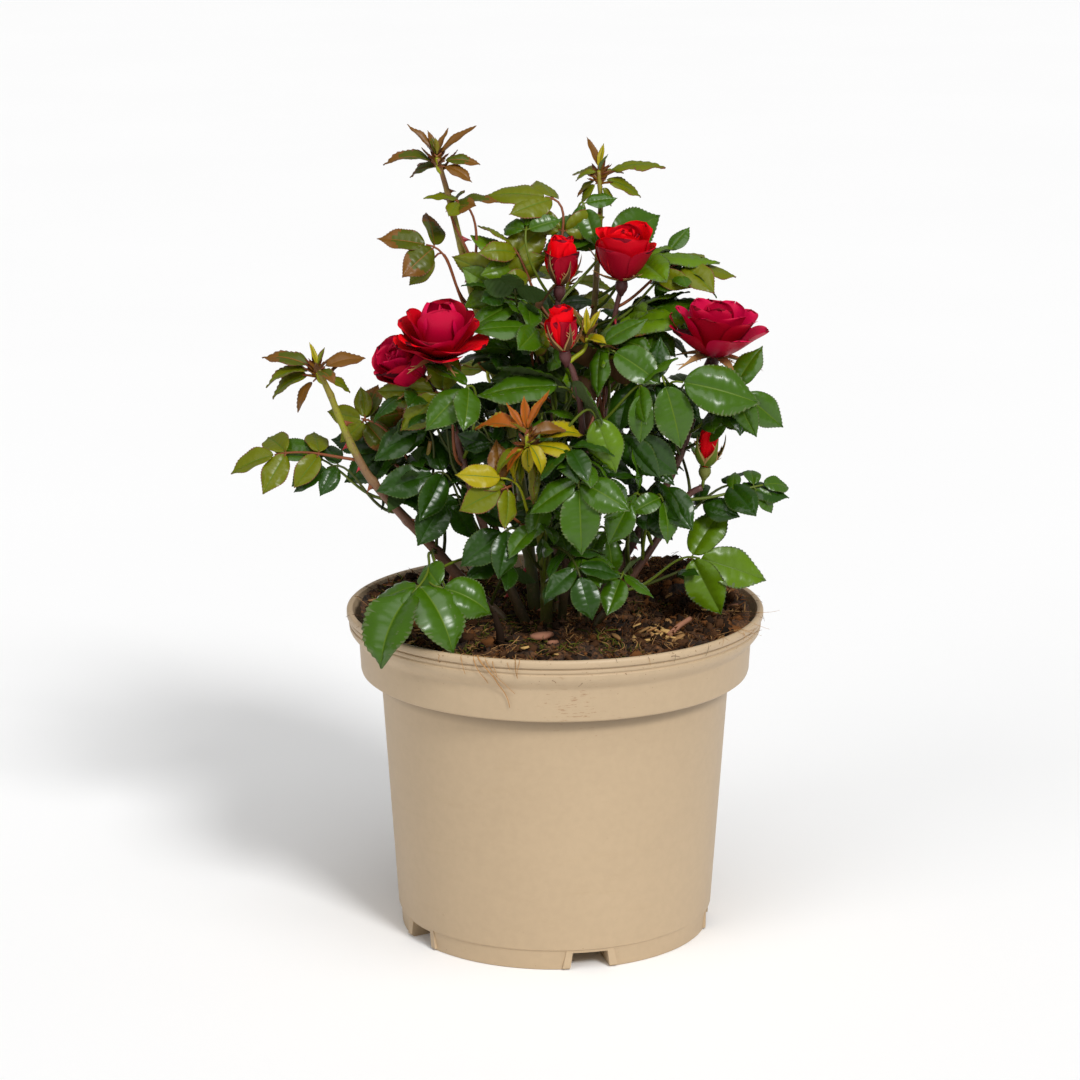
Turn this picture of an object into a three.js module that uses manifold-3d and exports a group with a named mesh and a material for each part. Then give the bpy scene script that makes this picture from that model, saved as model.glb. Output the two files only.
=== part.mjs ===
// A young rose bush in flower, in the plastic nursery pot that it is sold in.
// Units are millimetres, +Z is up, and the origin is the middle of the flat
// underside of the pot. -Y is the front of the plant and +X its right.
//
// The pot is one moulded shell. The root ball fills it. The canes rise from the
// middle of the root ball, and each ends where it enters its mass of foliage.
import * as THREE from "three";
import { mergeVertices } from "three/addons/utils/BufferGeometryUtils.js";
import Module from "manifold-3d";

const wasm = await Module();
wasm.setup();

// ---------------------------------------------------------------- driving sizes

const GAP = 0.35; // between solids that lie against each other

// Pot
const RIM_RADIUS = 95; // the lip, the widest part
const POT_HEIGHT = 150.5;
const COLLAR_TOP_RADIUS = 89.4;
const COLLAR_FOOT_RADIUS = 87.4;
const COLLAR_FOOT_Z = 121;
const BODY_TOP_RADIUS = 79.6;
const BODY_FOOT_RADIUS = 72.4;
const BASE_RADIUS = 70.8; // the last centimetre is a little narrower
const BASE_BAND = 10;
const WALL = 2.2;
const FLOOR = 2.6;
const POT_SIDES = 30;

// Drain channels, moulded into the floor: each runs out through the foot of the
// wall as a notch, and its inner end is open to the root ball
const DRAIN_COUNT = 5;
const DRAIN_FIRST_DEG = 13; // to the right of the front
const DRAIN_WIDTH = 20;
const DRAIN_TOP_WIDTH = 16;
const DRAIN_HEIGHT = 8;
const DRAIN_INNER_RADIUS = 44;

// Root ball
const SOIL_Z = 144; // level round the canes
const SOIL_RADIUS = 90.5;
const SOIL_EDGE_DROP = 3.5; // all round, just inside the rim
const SOIL_MOUND = { at: [48, 50], height: 8.5, spread: 26 };
const SOIL_HOLLOW = { at: [-62, 12], height: -4, spread: 30 };
const SOIL_ROUGHNESS = 0.9;
const CROWN_RADIUS = 26; // the flat patch that the canes stand on

// Canes
const CANE_SIDES = 6;
const CANE_STEP = 22; // length of one straight stretch of cane

// Foliage: each solid swells into lobes and draws in between them
const LOBES = 8;
const LOBE_DEPTH = 0.4;
const LARGE_MASS = 27; // a mass with a half-size of this or more gets a finer mesh

// ---------------------------------------------------------------------- colours

const COLOURS = {
  pot: [0xd6bf9f, 0.5],
  soil: [0x3a2417, 0.95],
  cane_old: [0x5a4030, 0.55],
  cane_green: [0x6f7c2a, 0.5],
  cane_tan: [0x8c6a48, 0.55],
  cane_purple: [0x5b2f35, 0.5],
  leaf: [0x2c5a1c, 0.4],
  leaf_young: [0x7a5a26, 0.45],
  flower: [0xb80d1e, 0.5],
};

function material(name) {
  const [color, roughness] = COLOURS[name];
  return new THREE.MeshStandardMaterial({ color, roughness, metalness: 0 });
}

// ------------------------------------------------------------------ small tools

const degrees = Math.PI / 180;

function randomFrom(seed) {
  let state = seed >>> 0;
  return () => {
    state = (state + 0x6d2b79f5) >>> 0;
    let t = state;
    t = Math.imul(t ^ (t >>> 15), t | 1);
    t ^= t + Math.imul(t ^ (t >>> 7), t | 61);
    return ((t ^ (t >>> 14)) >>> 0) / 4294967296;
  };
}

function seedOf(name) {
  return [...name].reduce((sum, letter) => (sum * 31 + letter.charCodeAt(0)) >>> 0, 7);
}

// Values set at points across the plane join up smoothly, for uneven ground.
function ripple(x, y) {
  return (Math.sin(x * 0.21 + 1.3) * Math.cos(y * 0.17 - 0.4)
    + 0.6 * Math.sin(x * 0.43 - y * 0.31 + 2.1)) / 1.6;
}

function solidOf(geometry) {
  const plain = geometry.clone();
  plain.deleteAttribute("normal");
  plain.deleteAttribute("uv");
  const merged = mergeVertices(plain, 1e-4);
  return new wasm.Manifold(new wasm.Mesh({
    numProp: 3,
    vertProperties: new Float32Array(merged.attributes.position.array),
    triVerts: new Uint32Array(merged.index.array),
  }));
}

function geometryOf(solid) {
  const mesh = solid.getMesh();
  const geometry = new THREE.BufferGeometry();
  geometry.setAttribute("position", new THREE.BufferAttribute(mesh.vertProperties, 3));
  geometry.setIndex(new THREE.BufferAttribute(mesh.triVerts, 1));
  geometry.computeVertexNormals();
  return geometry;
}

// Cutting can leave crumbs: only the largest piece is the part.
function largestPiece(solid) {
  const pieces = solid.decompose();
  return pieces.reduce((best, piece) => (piece.volume() > best.volume() ? piece : best));
}

// A closed geometry from rings of points: a fan closes each end.
function skinOf(rings, firstCentre, lastCentre) {
  const sides = rings[0].length;
  const points = [...rings.flat(), firstCentre, lastCentre];
  const first = points.length - 2;
  const last = points.length - 1;
  const faces = [];
  for (let i = 0; i < sides; i += 1) {
    const j = (i + 1) % sides;
    faces.push(first, j, i);
    for (let k = 0; k + 1 < rings.length; k += 1) {
      const low = k * sides;
      const high = low + sides;
      faces.push(low + i, low + j, high + j);
      faces.push(low + i, high + j, high + i);
    }
    const top = (rings.length - 1) * sides;
    faces.push(last, top + i, top + j);
  }
  const geometry = new THREE.BufferGeometry().setFromPoints(points);
  geometry.setIndex(faces);
  return geometry;
}

// -------------------------------------------------------------------------- pot

function potProfile() {
  const inside = (radius) => radius - WALL;
  return [
    [0, 0],
    [BASE_RADIUS - 0.8, 0],
    [BASE_RADIUS, 0.9],
    [BASE_RADIUS + 0.6, BASE_BAND - 1],
    [BODY_FOOT_RADIUS, BASE_BAND],
    [BODY_TOP_RADIUS, COLLAR_FOOT_Z - 1.2],
    [COLLAR_FOOT_RADIUS - 2.4, COLLAR_FOOT_Z - 0.6],
    [COLLAR_FOOT_RADIUS, COLLAR_FOOT_Z + 2.4],
    [COLLAR_TOP_RADIUS, 135.6],
    [RIM_RADIUS - 3.2, 138.6],
    [RIM_RADIUS - 1.2, 141.6],
    [RIM_RADIUS - 1, 146.4],
    [RIM_RADIUS, 147],
    [RIM_RADIUS, 149.4],
    [RIM_RADIUS - 1, POT_HEIGHT],
    [RIM_RADIUS - 3, 150],
    [RIM_RADIUS - 4, 139.6],
    [inside(COLLAR_TOP_RADIUS), 135.8],
    [inside(COLLAR_FOOT_RADIUS), COLLAR_FOOT_Z + 3.4],
    [inside(BODY_TOP_RADIUS), COLLAR_FOOT_Z - 2.4],
    [inside(BODY_FOOT_RADIUS) + 0.1, FLOOR],
    [0, FLOOR],
  ].map(([radius, z]) => new THREE.Vector2(radius, z));
}

// Seen from outside, a drain channel is a low arch whose straight sides lean in.
function drainOutline(grow, bottom) {
  const half = DRAIN_WIDTH / 2 + grow;
  const topHalf = DRAIN_TOP_WIDTH / 2 + grow;
  const height = DRAIN_HEIGHT + grow;
  const corner = 2;
  const outline = new THREE.Shape();
  outline.moveTo(-half, bottom);
  outline.lineTo(-topHalf - 0.6, height - corner);
  outline.quadraticCurveTo(-topHalf, height, -topHalf + corner, height);
  outline.lineTo(topHalf - corner, height);
  outline.quadraticCurveTo(topHalf, height, topHalf + 0.6, height - corner);
  outline.lineTo(half, bottom);
  return outline;
}

function drainSolid(index, { grow, bottom, from, to }) {
  const outline = drainOutline(grow, bottom);
  const shape = { depth: to - from, bevelEnabled: false, curveSegments: 1 };
  const block = new THREE.ExtrudeGeometry(outline, shape);
  block.rotateX(90 * degrees); // now it runs from y = 0 towards -Y
  block.translate(0, -from, 0);
  block.rotateZ((DRAIN_FIRST_DEG + (index * 360) / DRAIN_COUNT) * degrees);
  return solidOf(block);
}

function makePot() {
  const shell = new THREE.LatheGeometry(potProfile(), POT_SIDES);
  shell.rotateX(90 * degrees);
  let pot = solidOf(shell);
  const tunnel = { grow: WALL, bottom: 0.1, from: DRAIN_INNER_RADIUS, to: BASE_RADIUS - 1 };
  const channel = { grow: 0, bottom: -1, from: DRAIN_INNER_RADIUS - 1, to: BODY_FOOT_RADIUS + 6 };
  for (let i = 0; i < DRAIN_COUNT; i += 1) {
    pot = pot.add(drainSolid(i, tunnel));
  }
  for (let i = 0; i < DRAIN_COUNT; i += 1) {
    pot = pot.subtract(drainSolid(i, channel));
  }
  return pot;
}

// The space that foliage keeps out of: the pot and, within its rim, the soil.
function potClearance() {
  const sides = 24;
  const outside = (RIM_RADIUS + GAP) / Math.cos(Math.PI / sides);
  const profile = [
    [0, -1],
    [outside, -1],
    [outside, POT_HEIGHT + GAP],
    [RIM_RADIUS - 6, POT_HEIGHT + GAP],
    [RIM_RADIUS - 8, SOIL_Z + 2],
    [0, SOIL_Z + 2],
  ].map(([radius, z]) => new THREE.Vector2(radius, z));
  const block = new THREE.LatheGeometry(profile, sides);
  block.rotateX(90 * degrees);
  return solidOf(block);
}

// -------------------------------------------------------------------- root ball

function heap(x, y, { at, height, spread }) {
  const distance = Math.hypot(x - at[0], y - at[1]) / spread;
  return height * Math.exp(-distance * distance);
}

function soilHeight(x, y) {
  const radius = Math.hypot(x, y);
  const away = THREE.MathUtils.smoothstep(radius, CROWN_RADIUS, CROWN_RADIUS + 16);
  const edge = THREE.MathUtils.smoothstep(radius, SOIL_RADIUS - 34, SOIL_RADIUS);
  const uneven = SOIL_ROUGHNESS * ripple(x, y) + heap(x, y, SOIL_MOUND) + heap(x, y, SOIL_HOLLOW);
  return SOIL_Z + away * uneven - edge * SOIL_EDGE_DROP;
}

function makeSoil() {
  const sides = 24;
  const floorGap = FLOOR + GAP;
  // The wall's flats lie a little inside its corners.
  const insideWall = (radius) => (radius - WALL) * Math.cos(Math.PI / POT_SIDES) - GAP;
  const side = [
    [insideWall(BODY_FOOT_RADIUS), floorGap],
    [insideWall(BODY_TOP_RADIUS) - 0.2, COLLAR_FOOT_Z],
    [insideWall(COLLAR_FOOT_RADIUS) - 0.5, COLLAR_FOOT_Z + 6],
    [insideWall(COLLAR_TOP_RADIUS) - 0.4, 135],
  ];
  const top = [SOIL_RADIUS - 1.5, 78, 62, 46, CROWN_RADIUS];
  const ringAt = (radius, heightAt) => Array.from({ length: sides }, (_, i) => {
    const angle = (i / sides) * 2 * Math.PI;
    const x = radius * Math.cos(angle);
    const y = radius * Math.sin(angle);
    return new THREE.Vector3(x, y, heightAt(x, y));
  });
  const rings = [
    ringAt(side[0][0] - 6, () => floorGap),
    ...side.map(([radius, z]) => ringAt(radius, () => z)),
    ...top.map((radius) => ringAt(radius, soilHeight)),
  ];
  const under = new THREE.Vector3(0, 0, floorGap);
  let ball = solidOf(skinOf(rings, under, new THREE.Vector3(0, 0, SOIL_Z)));
  const hollow = { grow: WALL + GAP, bottom: -1, from: DRAIN_INNER_RADIUS - 1 - GAP, to: RIM_RADIUS };
  for (let i = 0; i < DRAIN_COUNT; i += 1) {
    ball = ball.subtract(drainSolid(i, hollow));
  }
  return ball;
}

// ------------------------------------------------------------------------ canes
// foot: where the cane leaves the root ball. through: the bends it grows by.
// tip: where it would end inside its foliage. girth: thickness at foot and tip.

const FOOT_Z = SOIL_Z + GAP;

const CANES = {
  cane_left: {
    foot: [-22, -5, FOOT_Z], through: [[-36, -6, 156], [-58, -8, 183], [-85, -13, 214]],
    tip: [-102, -15, 256], girth: [8, 4.2], material: "cane_tan", into: "shoot_left",
  },
  spur_left: {
    foot: [-57, -8, 182], through: [[-59, -8, 194]],
    tip: [-55, -8, 216], girth: [4, 2.6], material: "cane_green", into: "crown_left",
  },
  cane_tall: {
    foot: [-9, 9, FOOT_Z], through: [[-18, 14, 220], [-35, 17, 282]],
    tip: [-49, 19, 340], girth: [8, 3.6], material: "cane_tan", into: "shoot_tall",
  },
  cane_top_right: {
    foot: [8, 12, FOOT_Z], through: [[15, 22, 230], [18, 25, 287]],
    tip: [21, 25, 338], girth: [7, 3.2], material: "cane_green", into: "shoot_top_right",
  },
  cane_flower_top: {
    foot: [12, 3, FOOT_Z], through: [[20, 6, 210], [24, 7, 262]],
    tip: [29, 5, 298], girth: [6.5, 3.4], material: "cane_purple", into: "flower_top",
  },
  cane_flower_middle: {
    foot: [1, 5, FOOT_Z], through: [[0, 6, 210], [-1, 4, 260]],
    tip: [1, 0, 298], girth: [6, 3.6], material: "cane_purple", into: "flower_middle",
  },
  cane_flower_front: {
    foot: [3, -7, FOOT_Z], through: [[8, -17, 208], [13, -23, 240]],
    tip: [5, -25, 274], girth: [6.5, 3.6], material: "cane_purple", into: "flower_front",
  },
  cane_green: {
    foot: [-4, -14, FOOT_Z], through: [[-4, -18, 173], [-8, -25, 198]],
    tip: [-9, -30, 222], girth: [7, 4.2], material: "cane_green", into: "crown_front",
  },
  cane_flower_left: {
    foot: [-13, -9, FOOT_Z], through: [[-30, -14, 184], [-43, -18, 228]],
    tip: [-52, -20, 270], girth: [7, 3.4], material: "cane_old", into: "flower_left",
  },
  cane_left_back: {
    foot: [-16, 2, FOOT_Z], through: [[-27, 8, 185]],
    tip: [-45, 20, 225], girth: [5.5, 3.2], material: "cane_old", into: "crown_left_back",
  },
  cane_flower_right: {
    foot: [15, -4, FOOT_Z], through: [[38, -5, 186], [56, -7, 219]],
    tip: [69, -9, 272], girth: [7, 3.4], material: "cane_old", into: "flower_right",
  },
  cane_bud_right: {
    foot: [18, -13, FOOT_Z], through: [[41, -14, 176], [53, -15, 197]],
    tip: [66, -15, 213], girth: [6, 3.8], material: "cane_purple", into: "bud_right",
  },
  cane_back_left: {
    foot: [-9, 19, FOOT_Z], through: [[-16, 34, 185]],
    tip: [-26, 50, 226], girth: [6, 3.4], material: "cane_old", into: "crown_back_left",
  },
  cane_back_right: {
    foot: [8, 20, FOOT_Z], through: [[18, 36, 188]],
    tip: [32, 52, 230], girth: [6, 3.4], material: "cane_old", into: "crown_back_right",
  },
  cane_back_top: {
    foot: [0, 17, FOOT_Z], through: [[0, 32, 200], [1, 42, 240]],
    tip: [2, 50, 272], girth: [6.5, 3.2], material: "cane_old", into: "crown_back_top",
  },
};

function caneGeometry(cane, extra) {
  const points = [cane.foot, ...cane.through, cane.tip].map((point) => new THREE.Vector3(...point));
  const curve = new THREE.CatmullRomCurve3(points, false, "centripetal");
  const steps = Math.max(3, Math.round(curve.getLength() / CANE_STEP));
  const frames = curve.computeFrenetFrames(steps, false);
  const rings = [];
  for (let k = 0; k <= steps; k += 1) {
    const along = k / steps;
    const centre = curve.getPointAt(along);
    const radius = THREE.MathUtils.lerp(cane.girth[0], cane.girth[1], along) / 2 + extra;
    const ring = [];
    for (let i = 0; i < CANE_SIDES; i += 1) {
      const angle = (i / CANE_SIDES) * 2 * Math.PI;
      const point = centre.clone();
      point.addScaledVector(frames.normals[k], radius * Math.cos(angle));
      point.addScaledVector(frames.binormals[k], radius * Math.sin(angle));
      if (k === 0) {
        point.z = centre.z - extra; // the flat cut at ground level
      }
      ring.push(point);
    }
    rings.push(ring);
  }
  const start = curve.getPointAt(0);
  start.z -= extra;
  return skinOf(rings, start, curve.getPointAt(1));
}

function caneSolid(cane, extra = 0) {
  return solidOf(caneGeometry(cane, extra));
}

// --------------------------------------------------------------------- foliage
// at: the middle. half: half the width, depth and height. turn: degrees about
// +Z. dip: degrees that the right end drops. The order is the order of cutting:
// a mass keeps its whole shape against those further down the list.

const MASSES = {
  shoot_left: { at: [-104, -15, 263], half: [20, 17, 14.5], material: "leaf_young" },
  shoot_tall: { at: [-53, 16, 348.5], half: [20, 17, 20.5], material: "leaf_young" },
  shoot_top_right: { at: [27, 25, 345.5], half: [18.5, 16, 16], material: "leaf_young" },
  shoot_small: { at: [39, 15, 326], half: [6.5, 6, 12.5], material: "leaf_young" },
  flower_left: { at: [-53, -18, 279], half: [23.5, 23, 20], material: "flower" },
  flower_middle: { at: [2.5, 0, 304.5], half: [10, 10, 15.5], material: "flower" },
  flower_top: { at: [31, 5, 307], half: [16, 16, 17], material: "flower" },
  flower_front: { at: [3, -26, 281.5], half: [10, 10, 14], material: "flower" },
  flower_right: { at: [72, -10, 280], half: [23, 22, 15.5], material: "flower" },
  bud_right: { at: [70, -15, 221], half: [11.5, 9, 17.5], material: "flower" },
  spray_left: { at: [-122, -10, 216], half: [25, 13, 12], dip: -10, material: "leaf" },
  spray_inner_left: { at: [-82, 0, 229], half: [17, 14, 18.5], material: "leaf" },
  spray_tall_left: { at: [-67, 12, 310], half: [18, 14, 15], material: "leaf_young" },
  spray_top_middle: { at: [-7, 17, 331], half: [24, 18, 12.5], material: "leaf" },
  spray_top_right: { at: [59, 12, 304], half: [14.5, 16, 14], material: "leaf" },
  spray_right: { at: [86, -4, 207], half: [22, 11, 7], dip: 6, material: "leaf" },
  spray_right_low: { at: [68, -12, 169.5], half: [26, 18, 13.5], material: "leaf" },
  spray_left_rim: { at: [-55, -56, 163], half: [32, 24, 27.5], turn: 30, material: "leaf" },
  crown_upper_left: { at: [-17, 6, 304], half: [19, 20, 20], material: "leaf" },
  crown_upper_right: { at: [42, 12, 281], half: [23, 22, 14], material: "leaf" },
  crown_right: { at: [69, -19, 251], half: [32, 24, 17], dip: 8, material: "leaf" },
  crown_middle: { at: [2, -4, 270], half: [37, 24, 22], material: "leaf" },
  crown_left_upper: { at: [-57, -12, 247], half: [24, 24, 15], material: "leaf" },
  crown_left: { at: [-57, -6, 212], half: [23.5, 22, 20], material: "leaf" },
  crown_front: { at: [-1, -36, 223], half: [38, 27, 25], material: "leaf" },
  crown_front_low: { at: [-3, -32, 180], half: [40, 30, 19], material: "leaf" },
  crown_right_low: { at: [46, -12, 204], half: [20, 24, 24], material: "leaf" },
  crown_left_back: { at: [-48, 28, 228], half: [22, 20, 22], material: "leaf" },
  crown_right_back: { at: [60, 26, 232], half: [22, 20, 24], material: "leaf" },
  crown_back_left: { at: [-26, 58, 226], half: [28, 28, 28], material: "leaf" },
  crown_back_right: { at: [34, 60, 230], half: [30, 28, 28], material: "leaf" },
  crown_back_top: { at: [3, 52, 276], half: [28, 24, 20], material: "leaf" },
  crown_back_low: { at: [2, 52, 183], half: [38, 27, 15], material: "leaf" },
};

// Lobe directions are spread evenly over a sphere by the golden angle, then
// nudged, so that no two masses swell in the same places.
function lobeDirections(seed) {
  const random = randomFrom(seed);
  const golden = Math.PI * (3 - Math.sqrt(5));
  const spin = random() * 2 * Math.PI;
  return Array.from({ length: LOBES }, (_, i) => {
    const height = 1 - (2 * (i + 0.5)) / LOBES;
    const around = golden * i + spin + (random() - 0.5) * 0.7;
    const flat = Math.sqrt(1 - height * height);
    return new THREE.Vector3(flat * Math.cos(around), flat * Math.sin(around), height);
  });
}

function lobedRadius(direction, lobes) {
  const nearest = Math.max(...lobes.map((lobe) => lobe.dot(direction)));
  return 1 - LOBE_DEPTH * (1 - THREE.MathUtils.smoothstep(nearest, 0.45, 0.98));
}

function massGeometry(name, mass, extra) {
  const detail = Math.max(...mass.half) < LARGE_MASS ? 1 : 2;
  const geometry = mergeVertices(new THREE.IcosahedronGeometry(1, detail).deleteAttribute("normal")
    .deleteAttribute("uv"), 1e-4);
  const lobes = lobeDirections(seedOf(name));
  const points = geometry.attributes.position;
  const direction = new THREE.Vector3();
  for (let i = 0; i < points.count; i += 1) {
    direction.fromBufferAttribute(points, i).normalize();
    direction.multiplyScalar(lobedRadius(direction, lobes));
    points.setXYZ(i, direction.x, direction.y, direction.z);
  }
  geometry.computeBoundingBox();
  geometry.center();
  const size = geometry.boundingBox.getSize(new THREE.Vector3());
  const [width, depth, height] = mass.half.map((half) => 2 * (half + extra));
  geometry.scale(width / size.x, depth / size.y, height / size.z);
  geometry.rotateY((mass.dip ?? 0) * degrees);
  geometry.rotateZ((mass.turn ?? 0) * degrees);
  geometry.translate(...mass.at);
  return geometry;
}

function massSolid(name, extra = 0) {
  return solidOf(massGeometry(name, MASSES[name], extra));
}

// ------------------------------------------------------------------- assembling

// Each cane is trimmed where it meets an earlier cane and where its own foliage
// begins. The foliage is then cut round every cane that passes through it.
function trimCanes() {
  const trimmed = {};
  const kept = [];
  for (const [name, cane] of Object.entries(CANES)) {
    let solid = caneSolid(cane);
    for (const other of kept) {
      solid = solid.subtract(caneSolid(other, GAP));
    }
    kept.push(cane);
    trimmed[name] = largestPiece(solid.subtract(massSolid(cane.into, GAP)));
  }
  return trimmed;
}

function trimMasses() {
  const clearance = potClearance();
  const trimmed = {};
  const earlier = [];
  for (const name of Object.keys(MASSES)) {
    let solid = massSolid(name);
    for (const other of earlier) {
      solid = solid.subtract(massSolid(other, GAP));
    }
    for (const cane of Object.values(CANES)) {
      if (cane.into !== name) {
        solid = solid.subtract(caneSolid(cane, GAP));
      }
    }
    solid = solid.subtract(clearance);
    earlier.push(name);
    trimmed[name] = largestPiece(solid);
  }
  return trimmed;
}

function named(name, solid, materialName) {
  const mesh = new THREE.Mesh(geometryOf(solid), material(materialName));
  mesh.name = name;
  return mesh;
}

const plant = new THREE.Group();
plant.add(named("pot", makePot(), "pot"), named("soil", makeSoil(), "soil"));
for (const [name, solid] of Object.entries(trimCanes())) {
  plant.add(named(name, solid, CANES[name].material));
}
for (const [name, solid] of Object.entries(trimMasses())) {
  plant.add(named(name, solid, MASSES[name].material));
}

export default plant;
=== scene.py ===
"""A young rose bush in flower, in its nursery pot.

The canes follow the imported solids. Every foliage solid is replaced by compound
leaves, young shoots or blooms that grow from the nearest cane by a seeded rule.
Shapes are worked out in millimetres, and -Y is the front of the plant.
"""

import math
import random
from collections import namedtuple

import bpy
import numpy as np
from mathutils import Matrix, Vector, noise
from mathutils.bvhtree import BVHTree


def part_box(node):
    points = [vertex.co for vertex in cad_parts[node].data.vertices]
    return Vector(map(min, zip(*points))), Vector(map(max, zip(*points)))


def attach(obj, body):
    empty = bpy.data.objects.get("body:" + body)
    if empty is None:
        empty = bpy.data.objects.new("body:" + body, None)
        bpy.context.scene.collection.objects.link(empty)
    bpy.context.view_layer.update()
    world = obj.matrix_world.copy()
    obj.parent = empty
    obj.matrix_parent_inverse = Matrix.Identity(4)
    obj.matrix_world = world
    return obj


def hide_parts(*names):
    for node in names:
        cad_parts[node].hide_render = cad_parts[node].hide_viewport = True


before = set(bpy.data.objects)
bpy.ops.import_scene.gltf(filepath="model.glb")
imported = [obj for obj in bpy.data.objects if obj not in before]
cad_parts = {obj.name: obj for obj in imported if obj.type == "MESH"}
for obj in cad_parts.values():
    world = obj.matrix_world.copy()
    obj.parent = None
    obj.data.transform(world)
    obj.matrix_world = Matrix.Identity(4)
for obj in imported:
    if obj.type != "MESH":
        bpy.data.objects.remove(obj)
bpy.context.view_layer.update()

MM = 0.001
UP = np.array([0.0, 0.0, 1.0])


# ------------------------------------------------------------------ small tools


def vec(*numbers):
    return np.array(numbers, dtype=float)


def unit(v):
    return v / max(np.linalg.norm(v), 1e-9)


def lerp(a, b, t):
    return a + (b - a) * t


def smoothstep(x, low, high):
    t = np.clip((x - low) / (high - low), 0, 1)
    return t * t * (3 - 2 * t)


def turned(v, axis, angle):
    """v turned about a unit axis by an angle in radians."""
    across = np.cross(axis, v)
    along = axis * np.dot(axis, v)
    return v * math.cos(angle) + across * math.sin(angle) + along * (1 - math.cos(angle))


def square_up(axis, up):
    """up made square to axis."""
    return unit(up - axis * np.dot(axis, up))


def heading(degrees, pitch=0.0):
    """A direction: degrees round from +X towards +Y, and pitch degrees above level."""
    a, p = math.radians(degrees), math.radians(pitch)
    return vec(math.cos(a) * math.cos(p), math.sin(a) * math.cos(p), math.sin(p))


def bezier(p0, p1, p2, p3, count):
    """Points along a cubic curve."""
    t = np.linspace(0, 1, count)[:, None]
    s = 1 - t
    return s**3 * p0 + 3 * s * s * t * p1 + 3 * s * t * t * p2 + t**3 * p3


def arc_lengths(path):
    """How far along a path each of its points lies."""
    steps = np.linalg.norm(np.diff(path, axis=0), axis=1)
    return np.concatenate([[0], np.cumsum(steps)])


def point_at(path, length):
    """The point of a path at a length from its start, and the direction there."""
    lengths = arc_lengths(path)
    length = float(np.clip(length, 0, lengths[-1]))
    place = min(int(np.searchsorted(lengths, length, side="right")), len(path) - 1)
    a, b = path[place - 1], path[place]
    share = (length - lengths[place - 1]) / max(lengths[place] - lengths[place - 1], 1e-9)
    return lerp(a, b, share), unit(b - a)


def box_mm(node):
    """The corners of a node's box in millimetres."""
    low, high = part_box(node)
    return np.array(low) / MM, np.array(high) / MM


def in_box(node, across, depth, height):
    """A point of a node's box: each number runs from -1 to 1."""
    low, high = box_mm(node)
    return (low + high) / 2 + (high - low) / 2 * vec(across, depth, height)


def bvh_of(nodes):
    """One search tree over the meshes of some CAD nodes, in millimetres."""
    points, faces = [], []
    for name in nodes:
        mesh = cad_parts[name].data
        start = len(points)
        points += [v.co / MM for v in mesh.vertices]
        faces += [[start + i for i in face.vertices] for face in mesh.polygons]
    return BVHTree.FromPolygons(points, faces)


# -------------------------------------------------------------------- materials


def plain(name, color, roughness, specular):
    """One colour, for foliage and bloom whose tints are dealt out face by face."""
    mat = bpy.data.materials.new(name)
    mat.use_nodes = True
    shader = mat.node_tree.nodes["Principled BSDF"]
    shader.inputs["Base Color"].default_value = (*color, 1)
    shader.inputs["Roughness"].default_value = roughness
    shader.inputs["Specular IOR Level"].default_value = specular
    return mat


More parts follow.
